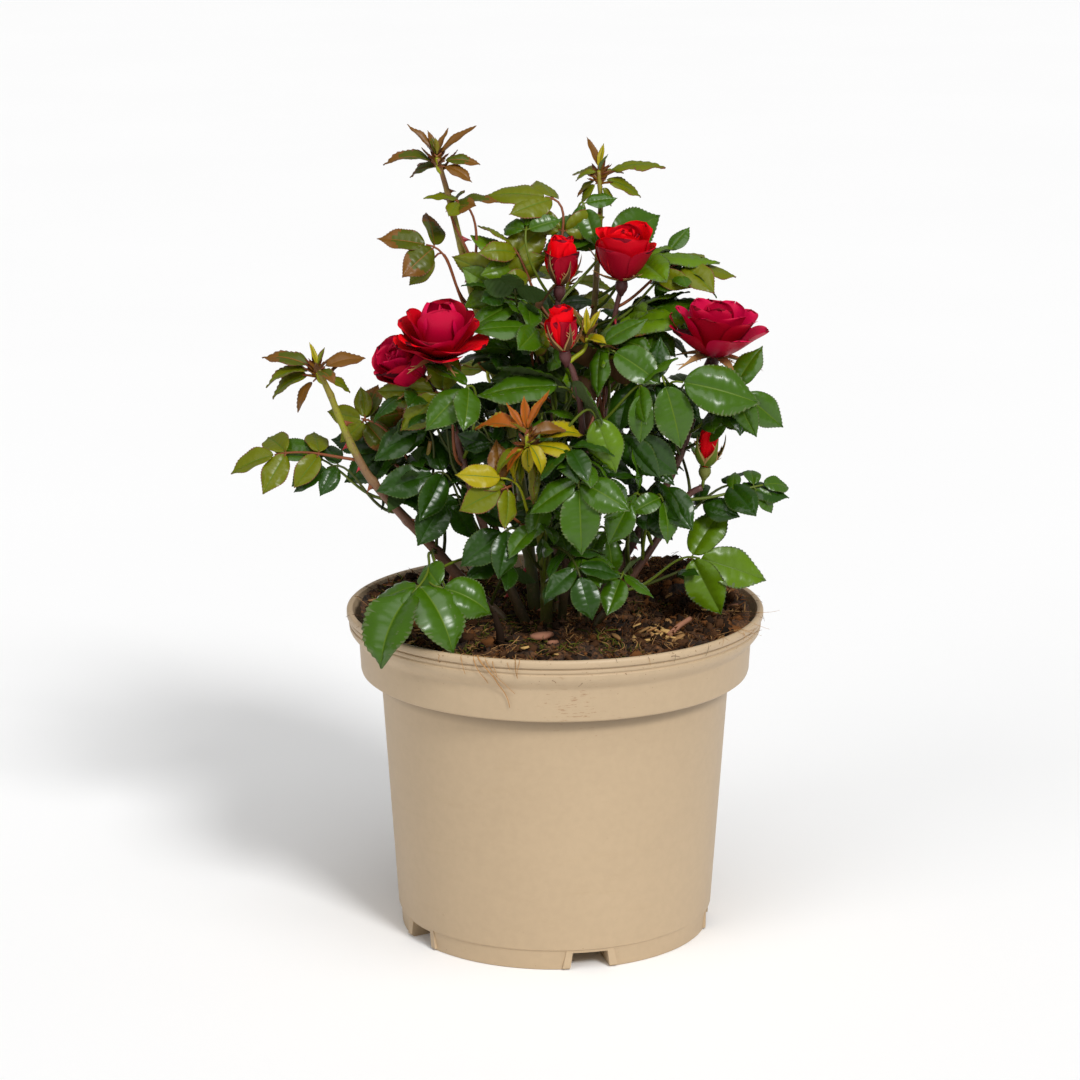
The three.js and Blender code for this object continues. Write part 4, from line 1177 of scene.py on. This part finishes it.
# ----------------------------------------------------------------- node shading


class Graph:
    """The nodes of a material or world, with short ways to add more."""

    def __init__(self, tree):
        self.nodes = tree.nodes
        self.links = tree.links

    def place(self):
        """Object coordinates, in metres."""
        return self.nodes.new("ShaderNodeTexCoord").outputs["Object"]

    def stretched(self, source, scale):
        node = self.nodes.new("ShaderNodeMapping")
        node.inputs["Scale"].default_value = scale
        self.links.new(source, node.inputs["Vector"])
        return node.outputs["Vector"]

    def rise(self, source, low, high):
        """0 at low, 1 at high, and held there beyond."""
        node = self.nodes.new("ShaderNodeMapRange")
        node.inputs["From Min"].default_value = low
        node.inputs["From Max"].default_value = high
        self.links.new(source, node.inputs["Value"])
        return node.outputs["Result"]

    def noise(self, source, scale, detail=4, roughness=0.55):
        node = self.nodes.new("ShaderNodeTexNoise")
        node.inputs["Scale"].default_value = scale
        node.inputs["Detail"].default_value = detail
        node.inputs["Roughness"].default_value = roughness
        self.links.new(source, node.inputs["Vector"])
        return node.outputs["Fac"]

    def ramp(self, source, *stops):
        """A colour ramp; each stop is a place and a colour."""
        node = self.nodes.new("ShaderNodeValToRGB")
        elements = node.color_ramp.elements
        while len(elements) < len(stops):
            elements.new(0.5)
        for element, (place, color) in zip(elements, stops):
            element.position = place
            element.color = (*color, 1)
        self.links.new(source, node.inputs["Fac"])
        return node.outputs["Color"]

    def mix(self, factor, a, b, blend="MIX"):
        node = self.nodes.new("ShaderNodeMix")
        node.data_type = "RGBA"
        node.blend_type = blend
        sockets = [s for s in node.inputs if s.name in ("A", "B") and s.type == "RGBA"]
        for socket, value in zip(sockets, (a, b)):
            if isinstance(value, tuple):
                socket.default_value = (*value, 1)
            else:
                self.links.new(value, socket)
        if isinstance(factor, float):
            node.inputs["Factor"].default_value = factor
        else:
            self.links.new(factor, node.inputs["Factor"])
        return next(s for s in node.outputs if s.type == "RGBA")

    def maths(self, operation, *values, clamp=False):
        node = self.nodes.new("ShaderNodeMath")
        node.operation = operation
        node.use_clamp = clamp
        for socket, value in zip(node.inputs, values):
            if isinstance(value, (int, float)):
                socket.default_value = value
            else:
                self.links.new(value, socket)
        return node.outputs[0]

    def bump(self, shader, height, strength, distance):
        node = self.nodes.new("ShaderNodeBump")
        node.inputs["Strength"].default_value = strength
        node.inputs["Distance"].default_value = distance
        self.links.new(height, node.inputs["Height"])
        self.links.new(node.outputs["Normal"], shader.inputs["Normal"])


def node_material(name):
    """A new material, its graph and its shader."""
    mat = bpy.data.materials.new(name)
    mat.use_nodes = True
    return mat, Graph(mat.node_tree), mat.node_tree.nodes["Principled BSDF"]


BLACK = (0, 0, 0)
WHITE = (1, 1, 1)


BARKS = {
    # bark: colours from the foot of a cane to its tip
    "green": ((0.0, (0.050, 0.045, 0.010)), (0.2, (0.110, 0.130, 0.010)), (0.5, (0.210, 0.225, 0.012)),
              (0.8, (0.290, 0.265, 0.020)), (1.0, (0.240, 0.110, 0.035))),
    "tan": ((0.0, (0.050, 0.038, 0.014)), (0.2, (0.120, 0.056, 0.030)), (0.5, (0.210, 0.092, 0.052)),
            (0.72, (0.230, 0.130, 0.050)), (0.82, (0.250, 0.270, 0.008)), (1.0, (0.240, 0.170, 0.022))),
    "purple": ((0.0, (0.060, 0.055, 0.014)), (0.25, (0.090, 0.044, 0.024)), (0.7, (0.130, 0.048, 0.036)),
               (1.0, (0.100, 0.034, 0.032))),
}


def bark_material(name):
    """Skin that ages from green to brown down the cane, with flecks and fine cracks."""
    mat, graph, shader = node_material("bark_" + name)
    age = graph.nodes.new("ShaderNodeAttribute")
    age.attribute_name = "age"
    place = graph.place()
    blotch = graph.noise(place, 90, 5)
    shift = graph.maths("MULTIPLY_ADD", blotch, 0.35, -0.175)
    moved = graph.maths("ADD", age.outputs["Fac"], shift, clamp=True)
    color = graph.ramp(moved, *BARKS[name])
    fleck = graph.ramp(graph.noise(place, 900, 2), (0.60, BLACK), (0.72, WHITE))
    color = graph.mix(fleck, color, (0.16, 0.085, 0.045))
    graph.links.new(color, shader.inputs["Base Color"])
    rough = graph.maths("MULTIPLY_ADD", blotch, 0.35, 0.32)
    graph.links.new(rough, shader.inputs["Roughness"])
    crack = graph.noise(graph.stretched(place, (1, 1, 0.18)), 1500, 3)
    graph.bump(shader, crack, 0.5, 0.0003)
    return mat


def build_limbs():
    """The canes, joined by bark, with each point's age from foot (0) to tip (1)."""
    for bark in BARKS:
        members = [limb for limb in limbs if limb.bark == bark]
        points, faces, ages, start = [], [], [], 0
        for limb in members:
            own_points, own_faces, own_ages = limb_mesh(limb)
            points.append(own_points)
            faces.append(np.where(own_faces >= 0, own_faces + start, -1))
            ages.append(own_ages)
            start += len(own_points)
        mesh = mesh_from("canes_" + bark, np.concatenate(points), np.concatenate(faces))
        attribute = mesh.attributes.new("age", "FLOAT", "POINT")
        attribute.data.foreach_set("value", np.concatenate(ages).astype(np.float32))
        names = [limb.name for limb in members]
        add_piece("canes_" + bark, mesh, [bark_material(bark)], names)


# -------------------------------------------------------------------------- pot

POT_PROFILE = (
    # radius, height: up the outside, over the lip and down the inside
    (70.0, 0.0), (70.6, 0.25), (70.8, 0.9), (71.3, 8.6), (71.45, 9.2), (72.2, 9.7), (72.4, 10.3),
    (79.6, 119.2), (79.75, 120.1), (80.2, 120.35), (85.8, 120.5), (87.4, 120.8), (88.3, 121.5),
    (88.7, 122.8), (89.4, 135.2), (89.6, 136.2), (90.6, 137.3), (91.8, 138.6), (92.6, 139.6),
    (93.3, 140.6), (93.8, 141.8), (93.95, 143.3), (93.75, 143.6), (93.4, 143.85), (93.4, 144.15),
    (93.8, 144.4), (94.0, 144.8), (94.05, 145.7), (93.9, 146.0), (93.5, 146.2), (93.5, 146.55),
    (94.1, 146.8), (94.7, 147.1), (95.0, 147.6), (95.0, 149.3), (94.8, 149.9), (94.4, 150.3),
    (93.8, 150.5), (92.9, 150.35), (92.3, 150.0), (92.0, 149.4), (91.0, 139.6), (89.6, 137.6),
    (87.2, 135.8), (85.2, 124.4), (84.6, 123.2), (77.4, 118.6), (70.3, 2.6),
)
POT_FLOOR = 2.6
POT_FOOT_RADIUS = 70.9
DRAIN_CUT_REACH = 90.0
POT_SEGMENTS = 192
DRAINS = 5
DRAIN_FIRST = math.radians(13)
DRAIN_WIDTH = 20.0
DRAIN_TOP_WIDTH = 16.0
DRAIN_HEIGHT = 8.0
DRAIN_INNER_RADIUS = 44.0
DRAIN_ROOF = 2.6


def drain_blocks(name, extra, reach, drop):
    """The channels under the pot as one object, from drop up; with extra, their roofs."""
    points, faces = [], []
    for number in range(DRAINS):
        turn = -math.pi / 2 + DRAIN_FIRST + number * 2 * math.pi / DRAINS
        out, side = vec(math.cos(turn), math.sin(turn), 0), vec(-math.sin(turn), math.cos(turn), 0)
        start = len(points)
        for radius in (DRAIN_INNER_RADIUS - extra, reach):
            bottom, top = DRAIN_WIDTH / 2 + extra, DRAIN_TOP_WIDTH / 2 + extra
            height = DRAIN_HEIGHT + extra
            for across, level in ((-bottom, drop), (bottom, drop), (top, height), (-top, height)):
                points.append(out * radius + side * across + UP * level)
        for face in ((3, 2, 1, 0), (4, 5, 6, 7), (1, 5, 4, 0), (2, 6, 5, 1), (3, 7, 6, 2), (0, 4, 7, 3)):
            faces.append([start + corner for corner in face])
    mesh = mesh_from(name, np.array(points), np.array(faces))
    return new_object(name, mesh)


def combined(obj, other, operation):
    """obj's mesh after a boolean with another object, which is then deleted."""
    modifier = obj.modifiers.new("cut", "BOOLEAN")
    modifier.operation = operation
    modifier.solver = "EXACT"
    modifier.object = other
    bpy.context.view_layer.update()
    graph = bpy.context.evaluated_depsgraph_get()
    result = bpy.data.meshes.new_from_object(obj.evaluated_get(graph))
    obj.modifiers.clear()
    obj.data = result
    bpy.data.objects.remove(other)


def pot_material():
    """Matte moulded plastic: faint mottling, handling marks, soil specks, painted shade under the collar
    and smears.
    """
    mat, graph, shader = node_material("pot_plastic")
    place = graph.place()
    wide = graph.noise(place, 14, 3)
    color = graph.ramp(wide, (0.25, (0.470, 0.345, 0.212)), (0.75, (0.505, 0.374, 0.232)))
    fine = graph.noise(place, 260, 3)
    tone = graph.ramp(fine, (0.35, (0.975, 0.975, 0.975)), (0.65, (1.015, 1.015, 1.015)))
    color = graph.mix(1.0, color, tone, "MULTIPLY")
    split = graph.nodes.new("ShaderNodeSeparateXYZ")
    graph.links.new(place, split.inputs["Vector"])
    height = split.outputs["Z"]

    # soil specks, near the rim and a few at the foot
    near_soil = graph.rise(height, 0.118, 0.150)
    near_foot = graph.maths("MULTIPLY", graph.rise(height, 0.030, 0.0), 0.5)
    zone = graph.maths("MAXIMUM", near_soil, near_foot)
    amount = graph.maths("MULTIPLY", zone, graph.noise(place, 60, 3))
    bar = graph.maths("SUBTRACT", 0.80, graph.maths("MULTIPLY", amount, 0.24))
    speck = graph.maths("SUBTRACT", graph.noise(place, 1100, 2, 0.4), bar)
    spots = graph.maths("MULTIPLY", speck, 16.0, clamp=True)
    color = graph.mix(spots, color, (0.21, 0.11, 0.045))

    # handling marks that run round the wall
    drawn_out = graph.stretched(place, (1, 1, 7))
    marks = graph.ramp(graph.noise(drawn_out, 26, 5, 0.7), (0.57, BLACK), (0.72, WHITE))
    color = graph.mix(graph.maths("MULTIPLY", marks, 0.14), color, (0.40, 0.28, 0.15))

    # painted shade just under the collar: the body is darkened where the collar's overhang shades it
    below = graph.maths("LESS_THAN", height, 0.1206)
    shade = graph.maths("MULTIPLY", graph.rise(height, 0.1135, 0.1203), below)
    color = graph.mix(graph.maths("MULTIPLY", shade, 0.62), color, (0.10, 0.065, 0.035))

    # smears on the front of the collar
    away = graph.nodes.new("ShaderNodeVectorMath")
    away.operation = "DISTANCE"
    graph.links.new(place, away.inputs[0])
    away.inputs[1].default_value = (0.008, -0.090, 0.127)
    share = graph.maths("DIVIDE", away.outputs["Value"], 0.034)
    patch = graph.maths("MULTIPLY", graph.maths("SUBTRACT", 1.0, share, clamp=True), 0.18)
    streak = graph.maths("ADD", patch, graph.noise(drawn_out, 190, 4, 0.65))
    smear = graph.maths("MULTIPLY", graph.maths("SUBTRACT", streak, 0.72), 9.0, clamp=True)
    color = graph.mix(smear, color, (0.30, 0.15, 0.06))

    graph.links.new(color, shader.inputs["Base Color"])
    rough = graph.maths("ADD", 0.42, graph.maths("MULTIPLY", wide, 0.18))
    graph.links.new(rough, shader.inputs["Roughness"])
    graph.bump(shader, fine, 0.03, 0.0003)
    return mat


def build_pot():
    """The pot turned from its profile, with drain channels cut into its foot."""
    turns = np.arange(POT_SEGMENTS) * 2 * math.pi / POT_SEGMENTS
    rings = []
    for radius, height in POT_PROFILE:
        ring = [radius * np.cos(turns), radius * np.sin(turns), np.full(POT_SEGMENTS, height)]
        rings.append(np.stack(ring, -1))
    count = len(rings)
    points = np.concatenate(rings + [vec(0, 0, 0)[None], vec(0, 0, POT_FLOOR)[None]])
    first, last = np.arange(POT_SEGMENTS), np.arange(POT_SEGMENTS) + (count - 1) * POT_SEGMENTS
    caps = (fan_faces(first, len(points) - 2, flip=True), fan_faces(last, len(points) - 1))
    faces = np.concatenate([grid_faces(count, POT_SEGMENTS, ring=True), *caps])
    obj = new_object("pot_shell", mesh_from("pot_shell", points, faces))
    combined(obj, drain_blocks("roofs", DRAIN_ROOF, POT_FOOT_RADIUS, 1.0), "UNION")
    combined(obj, drain_blocks("channels", 0.0, DRAIN_CUT_REACH, -5.0), "DIFFERENCE")
    mesh = obj.data
    mesh.materials.clear()
    mesh.materials.append(pot_material())
    mesh.polygons.foreach_set("material_index", [0] * len(mesh.polygons))
    mesh.set_sharp_from_angle(angle=math.radians(32))
    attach(obj, "root")
    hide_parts("pot")


# ------------------------------------------------------------------------- soil

SOIL_RINGS = 118
SOIL_TURNS = 300
SOIL_BOTTOM = 11.0
# radius, height: down the side of the compost, just inside the pot wall
SOIL_SIDES = ((86.4, 135.4), (84.4, 123.4), (76.8, 118.4), (70.2, SOIL_BOTTOM))
soil_tree = bvh_of(["soil"])
SOIL_LOW, SOIL_HIGH = box_mm("soil")
SOIL_EDGE = (SOIL_HIGH[0] - SOIL_LOW[0]) / 2


def soil_height(x, y):
    """The CAD soil's height, banked up at both sides, with finer clods and grains on it."""
    hit = soil_tree.ray_cast(Vector((x, y, 200)), Vector((0, 0, -1)))[0]
    level = hit.z if hit else SOIL_LOW[2]
    p = Vector((x, y, 0))
    radius, turn = math.hypot(x, y), math.degrees(math.atan2(y, x))
    left = (turn - 168 + 180) % 360 - 180
    bank = 10.5 * math.exp(-(((turn - 28) / 46) ** 2)) + 12.5 * math.exp(-((left / 50) ** 2))
    bank *= float(smoothstep(radius, 52, 82))
    clods = 3.4 * abs(noise.noise(p * 0.085)) + 2.6 * noise.noise(p * 0.21)
    grains = 1.7 * noise.noise(p * 0.47) + 0.8 * noise.noise(p * 1.1)
    return level - 1.0 + bank + (clods + grains) * float(1 - 0.7 * smoothstep(radius, 80, 88))


def soil_material():
    mat, graph, shader = node_material("compost")
    place = graph.place()
    wide = graph.noise(place, 60, 6, 0.7)
    color = graph.ramp(wide, (0.36, (0.008, 0.005, 0.003)), (0.48, (0.040, 0.020, 0.009)),
                       (0.60, (0.130, 0.058, 0.020)), (0.72, (0.070, 0.066, 0.012)))
    fine = graph.noise(place, 700, 4, 0.7)
    tone = graph.ramp(fine, (0.36, (0.35, 0.35, 0.35)), (0.66, (1.9, 1.7, 1.5)))
    color = graph.mix(1.0, color, tone, "MULTIPLY")
    graph.links.new(color, shader.inputs["Base Color"])
    shader.inputs["Roughness"].default_value = 0.95
    graph.bump(shader, fine, 0.9, 0.0012)
    return mat


def build_soil():
    """The bed of compost, from its middle out to the pot and down its side."""
    rings = []
    for i in range(SOIL_RINGS):
        radius = (SOIL_EDGE - 0.3) * ((i + 0.5) / (SOIL_RINGS - 0.5)) ** 0.72
        turn = (np.arange(SOIL_TURNS) + 0.5 * (i % 2)) * 2 * math.pi / SOIL_TURNS
        ring = [vec(radius * math.cos(a), radius * math.sin(a), 0) for a in turn]
        for point in ring:
            reach = min(1.0, (SOIL_EDGE - 2.2) / max(radius, 1))
            point[2] = soil_height(point[0] * reach, point[1] * reach)
        rings.append(np.array(ring))
    for radius, level in SOIL_SIDES:
        lower = rings[-1] * radius / np.linalg.norm(rings[-1][0, :2])
        lower[:, 2] = level
        rings.append(lower)
    centre = vec(0, 0, soil_height(0, 0))
    bottom = vec(0, 0, SOIL_BOTTOM)
    count = len(rings)
    points = np.concatenate(rings + [centre[None], bottom[None]])
    first, last = np.arange(SOIL_TURNS), np.arange(SOIL_TURNS) + (count - 1) * SOIL_TURNS
    caps = (fan_faces(first, len(points) - 2), fan_faces(last, len(points) - 1, flip=True))
    faces = np.concatenate([grid_faces(count, SOIL_TURNS, ring=True)[:, ::-1], *caps])
    mesh = mesh_from("compost_bed", points, faces)
    add_piece("compost_bed", mesh, [soil_material()], ["soil"])


def on_top(x, y, lift):
    """A point above the compost's surface."""
    return vec(x, y, soil_height(x, y) + lift)


def lump(centre, size, kind, rng):
    """A rough crumb: a small ball of rings pushed about by noise."""
    rings, sides = 5, 7
    points = []
    seed = Vector((rng.uniform(0, 99), rng.uniform(0, 99), rng.uniform(0, 99)))
    stretch = vec(rng.uniform(0.7, 1.3), rng.uniform(0.7, 1.3), rng.uniform(0.6, 1.0))
    spin = rng.uniform(0, 6.28)
    for i in range(rings):
        tilt = math.pi * (i + 0.5) / rings - math.pi / 2
        for j in range(sides):
            turn = j * 2 * math.pi / sides + 0.4 * i
            p = vec(math.cos(turn) * math.cos(tilt), math.sin(turn) * math.cos(tilt), math.sin(tilt))
            coarse, small = noise.noise(Vector(p) * 1.6 + seed), noise.noise(Vector(p) * 4 + seed)
            p = p * (1 + 0.75 * coarse + 0.5 * small)
            points.append(centre + turned(p * stretch, UP, spin) * size)
    points += [centre - UP * size * stretch[2] * 0.9, centre + UP * size * stretch[2] * 0.9]
    first, last = np.arange(sides), np.arange(sides) + (rings - 1) * sides
    faces = [grid_faces(rings, sides, ring=True), fan_faces(first, len(points) - 2, flip=True),
             fan_faces(last, len(points) - 1)]
    crumbs.add(np.array(points), np.concatenate(faces), kind)


def chip(centre, size, thick, kind, rng, pitch=0.3, turn=None):
    """A flat splinter of bark with a broken outline."""
    turn = rng.uniform(0, 6.28) if turn is None else turn
    along = heading(math.degrees(turn), math.degrees(rng.uniform(-pitch, pitch)))
    up = square_up(along, UP + vec(rng.gauss(0, 0.35), rng.gauss(0, 0.35), 0))
    side = np.cross(up, along)
    sides = 9
    outline = []
    for j in range(sides):
        a = j * 2 * math.pi / sides
        reach = rng.uniform(0.75, 1.1)
        outline.append(along * math.cos(a) * size[0] * reach + side * math.sin(a) * size[1] * reach)
    outline = np.array(outline)
    lift = up * thick / 2
    lower, upper = centre + outline * 0.92 - lift, centre + outline * 0.9 + lift
    middles = [[centre - lift], [centre + lift * 1.3]]
    points = np.concatenate([lower, centre + outline, upper, *middles])
    rings = grid_faces(3, sides, ring=True)
    caps = (fan_faces(np.arange(sides), 3 * sides, flip=True),
            fan_faces(np.arange(sides) + 2 * sides, 3 * sides + 1))
    crumbs.add(points, np.concatenate([rings, *caps]), kind)


def fibre(start, direction, length, thick, kind, rng, sag=0.25, follow=True):
    """A root hair or straw that wanders over the compost."""
    path = [np.array(start, dtype=float)]
    steps = max(5, int(length / 2.2))
    for _ in range(steps):
        direction = unit(direction + vec(rng.gauss(0, 0.28), rng.gauss(0, 0.28), rng.gauss(0, 0.22)))
        step = path[-1] + direction * length / steps
        if follow and math.hypot(step[0], step[1]) < SOIL_EDGE - 3:
            ground = soil_height(step[0], step[1]) + thick
            step[2] = max(ground, lerp(step[2], ground, sag))
        path.append(step)
    tube(fibres, smoothed(np.array(path)), np.linspace(thick, thick * 0.5, len(path)), kind, 5)


def tuft(x, y, rng, kinds):
    """A knot of broken fibres that stands off the compost."""
    foot = on_top(x, y, -0.3)
    for _ in range(rng.randrange(6, 11)):
        direction = heading(rng.uniform(0, 360), rng.uniform(-5, 65))
        start = foot + vec(rng.gauss(0, 1.4), rng.gauss(0, 1.4), rng.uniform(0, 1.2))
        length, thick = rng.uniform(2.0, 6.0), rng.uniform(0.14, 0.42)
        middle = start + direction * length * 0.5 + vec(rng.gauss(0, 0.7), rng.gauss(0, 0.7), 0.3)
        end = middle + (direction + vec(rng.gauss(0, 0.5), rng.gauss(0, 0.5), -0.3)) * length * 0.5
        tube(fibres, [start, middle, end], [thick, thick * 0.9, thick * 0.3], rng.choice(kinds), 4)


def on_soil(rng, margin):
    """A random place on the compost, clear of its edge by a margin."""
    radius = (SOIL_EDGE - margin) * math.sqrt(rng.random())
    turn = rng.uniform(0, 2 * math.pi)
    return radius * math.cos(turn), radius * math.sin(turn)


def over_rim(turn, sweep, drop, thick, kind, rng):
    """A root hair that lies over the lip and hangs down the collar."""
    places = ((80, 146), (88, 149), (93.5, 151.4), (96.0, 149.2), (95.6, 146.0), (94.9, 142.5),
              (92.6, 138.5), (90.4, 134.0), (90.2, 128.0), (90.0, 122.0))
    path = []
    for number, (radius, height) in enumerate(places):
        if height < 151 - drop and number > 3:
            break
        angle = math.radians(turn + sweep * (number / 9) ** 1.5 + rng.gauss(0, 0.35))
        path.append(vec(radius * math.cos(angle), radius * math.sin(angle), height))
    path, radii = resampled(np.array(path), np.linspace(thick, thick * 0.45, len(path)), 1.6)
    wander = np.array([[rng.gauss(0, 0.25), rng.gauss(0, 0.12), rng.gauss(0, 0.12)] for _ in path])
    tube(fibres, smoothed(path) + smoothed(wander, 2), radii, kind, 5)


COMPOST = {"crumbs": 1100, "tufts": 500, "chips": 110, "flakes": 26, "clods": 290, "hairs": 330}
CRUMBS = ("crumb_black", "crumb_dark", "crumb_dark", "crumb_brown", "crumb_brown", "crumb_rust")
RUSTY = ("crumb_rust", "crumb_rust", "fibre_dark", "crumb_brown", "crumb_tan", "crumb_brown")
MOSSY = ("fibre_moss", "fibre_moss", "crumb_moss", "crumb_tan", "fibre_dark", "crumb_rust")
CHIPS = ("crumb_brown", "crumb_rust", "crumb_rust", "crumb_tan", "chip_pale", "chip_pink")
FLAKES = ("chip_pale", "chip_pale", "crumb_tan", "fibre_tan")
CLODS = ("crumb_brown", "crumb_rust", "crumb_dark")
HAIRS = ("fibre_tan", "fibre_dark", "fibre_dark", "crumb_rust")
# hairs over the front rim: place round the rim, sweep, drop, thickness
FRONT_HAIRS = (
    (-112, 12, 24, 0.42), (-113, 8, 14, 0.30), (-116, 4, 10, 0.24), (-111, 14, 19, 0.24),
    (-107, 3, 11, 0.26), (-101, 2, 10, 0.30), (-103, 4, 8, 0.22), (-99, -3, 9, 0.22), (-109, 2, 7, 0.2),
)
RIM_HAIRS = 40
LOOSE_HAIRS = 9


def scatter_compost():
    """Crumbs, tufts of fibre, bark chips, a twig, a cut stub and hairs, each in its own region."""
    rng = random.Random("compost")
    for number in range(COMPOST["crumbs"]):
        x, y = on_soil(rng, 3.5)
        size = rng.uniform(0.5, 1.1) if number % 7 else rng.uniform(1.3, 2.8)
        lump(on_top(x, y, size * 0.2), size, rng.choice(CRUMBS), rng)
    for _ in range(COMPOST["tufts"]):
        x, y = on_soil(rng, 5)
        mossy_here = noise.noise(Vector((x, y, 9)) * 0.05) - 0.006 * x > 0.02
        tuft(x, y, rng, MOSSY if mossy_here else RUSTY)
    for _ in range(COMPOST["chips"]):
        x, y = on_soil(rng, 5)
        length = rng.uniform(1.2, 4.0)
        kind = rng.choice(CHIPS)
        chip(on_top(x, y, 0.8), (length, length * rng.uniform(0.25, 0.6)), 0.7, kind, rng)
    for _ in range(COMPOST["flakes"]):
        x, y = 47 + rng.gauss(0, 6), -29 + rng.gauss(0, 6)
        length = rng.uniform(2.0, 5.5)
        kind = rng.choice(FLAKES)
        chip(on_top(x, y, 1.2), (length, length * 0.35), 0.8, kind, rng, pitch=0.6)
    chip(on_top(-6, -41, 2.4), (5.6, 3.2), 2.0, "chip_pink", rng, 0.1, 0.15)
    chip(on_top(-1, -43, 2.0), (3.6, 2.6), 1.6, "chip_pink", rng, 0.2, 1.0)
    twig = np.array([on_top(51, -33, 1.5), on_top(56, -26, 3.6), on_top(61, -18, 5.0)])
    path, radii = resampled(twig, np.array([1.35, 1.25, 1.1]), 1.2)
    tube(crumbs, path, radii, "chip_pink", 9)
    stub = on_top(-24, -47, -1)
    path = [stub, stub + vec(-0.5, 0, 8), stub + vec(-3.0, 0, 17)]
    tube(crumbs, path, [2.2, 1.8, 1.1], "crumb_dark", 10)
    for number in range(COMPOST["clods"]):
        radius = rng.uniform(45, 85)
        turn = math.radians(rng.gauss(25, 45) if number % 2 else rng.gauss(172, 38))
        x, y = radius * math.cos(turn), radius * math.sin(turn)
        size = rng.uniform(1.2, 3.2)
        lump(on_top(x, y, size * 0.2), size, rng.choice(CLODS), rng)
    for _ in range(COMPOST["hairs"]):
        x, y = on_soil(rng, 5)
        kind = rng.choice(HAIRS)
        fibre(on_top(x, y, 0.4), heading(rng.uniform(0, 360), rng.uniform(-10, 45)), rng.uniform(6, 24),
              rng.uniform(0.10, 0.24), kind, rng)
    for turn, sweep, drop, thick in FRONT_HAIRS:
        over_rim(turn, sweep, drop, thick, rng.choice(("fibre_tan", "fibre_tan", "crumb_tan")), rng)
    for _ in range(RIM_HAIRS):
        over_rim(rng.uniform(-180, 180), rng.uniform(-6, 6), rng.uniform(2, 8), rng.uniform(0.10, 0.18),
                 rng.choice(("fibre_tan", "crumb_rust", "fibre_dark")), rng)
    for _ in range(LOOSE_HAIRS):
        turn = math.radians(rng.uniform(-38, -8))
        start = vec(92 * math.cos(turn), 92 * math.sin(turn), 151)
        fibre(start, heading(math.degrees(turn) + rng.uniform(-30, 30), rng.uniform(-20, 30)),
              rng.uniform(8, 17), 0.10, "fibre_tan", rng, follow=False)


# ----------------------------------------------------------- stage and assembly


def build_stage():
    """A pale floor that reaches far past the view."""
    floor_mat, graph, shader = node_material("studio_floor")
    grain = graph.noise(graph.place(), 3, 2)
    color = graph.ramp(grain, (0.3, (0.95, 0.95, 0.95)), (0.7, (0.96, 0.96, 0.96)))
    graph.links.new(color, shader.inputs["Base Color"])
    shader.inputs["Roughness"].default_value = 0.9
    shader.inputs["Specular IOR Level"].default_value = 0.1
    size = 40_000.0
    corners = [vec(x * size, y * size, 0) for x, y in ((-1, -1), (1, -1), (1, 1), (-1, 1))]
    mesh = mesh_from("floor", np.array(corners), np.array([[0, 1, 2, 3]]))
    mesh.materials.append(floor_mat)
    new_object("floor", mesh)


def add_sun(name, direction, strength, angle):
    """A soft sun that shines from a direction."""
    light = bpy.data.lights.new(name, "SUN")
    light.energy = strength
    light.angle = math.radians(angle)
    new_object(name, light).rotation_euler = Vector(direction).to_track_quat("Z", "Y").to_euler()


ROOM_LIGHT = 0.30


def build_light():
    """Three soft suns and a dim white room, which is plain white where it is seen."""
    world = bpy.data.worlds.new("studio")
    world.use_nodes = True
    background = world.node_tree.nodes["Background"]
    background.inputs["Color"].default_value = (1.0, 1.0, 1.0, 1)
    graph = Graph(world.node_tree)
    seen = graph.nodes.new("ShaderNodeLightPath").outputs["Is Camera Ray"]
    graph.links.new(graph.maths("MAXIMUM", seen, ROOM_LIGHT), background.inputs["Strength"])
    bpy.context.scene.world = world
    add_sun("key", heading(-60, 38), 1.95, 14)
    add_sun("top", heading(-80, 70), 0.95, 45)
    add_sun("fill", heading(-132, 32), 0.45, 30)
    bpy.context.scene.view_settings.view_transform = "Standard"


def build_camera():
    data = bpy.data.cameras.new("camera")
    data.lens = 121.3
    data.sensor_width = 36
    data.clip_end = 200
    camera = new_object("camera", data)
    camera.location = (0, -1.604, 0.583)
    camera.rotation_euler = (math.radians(90 - 14.08), 0, math.radians(0.244))
    bpy.context.scene.camera = camera


build_camera()
build_light()
build_stage()
build_pot()
build_soil()
scatter_compost()
build_limbs()
grow_prickles()
grow_blooms()
grow_shoots()
grow_features()
grow_foliage()

leaves.replaced = [name for name in MASSES if name.startswith(("crown", "spray"))]
young_leaves.replaced = [name for name in MASSES if name.startswith("shoot")]
petals.replaced = [name for name in MASSES if name.startswith(("flower", "bud"))]
for pile in (leaves, young_leaves, stalks, petals, sepals, prickles, crumbs, fibres):
    pile.build()
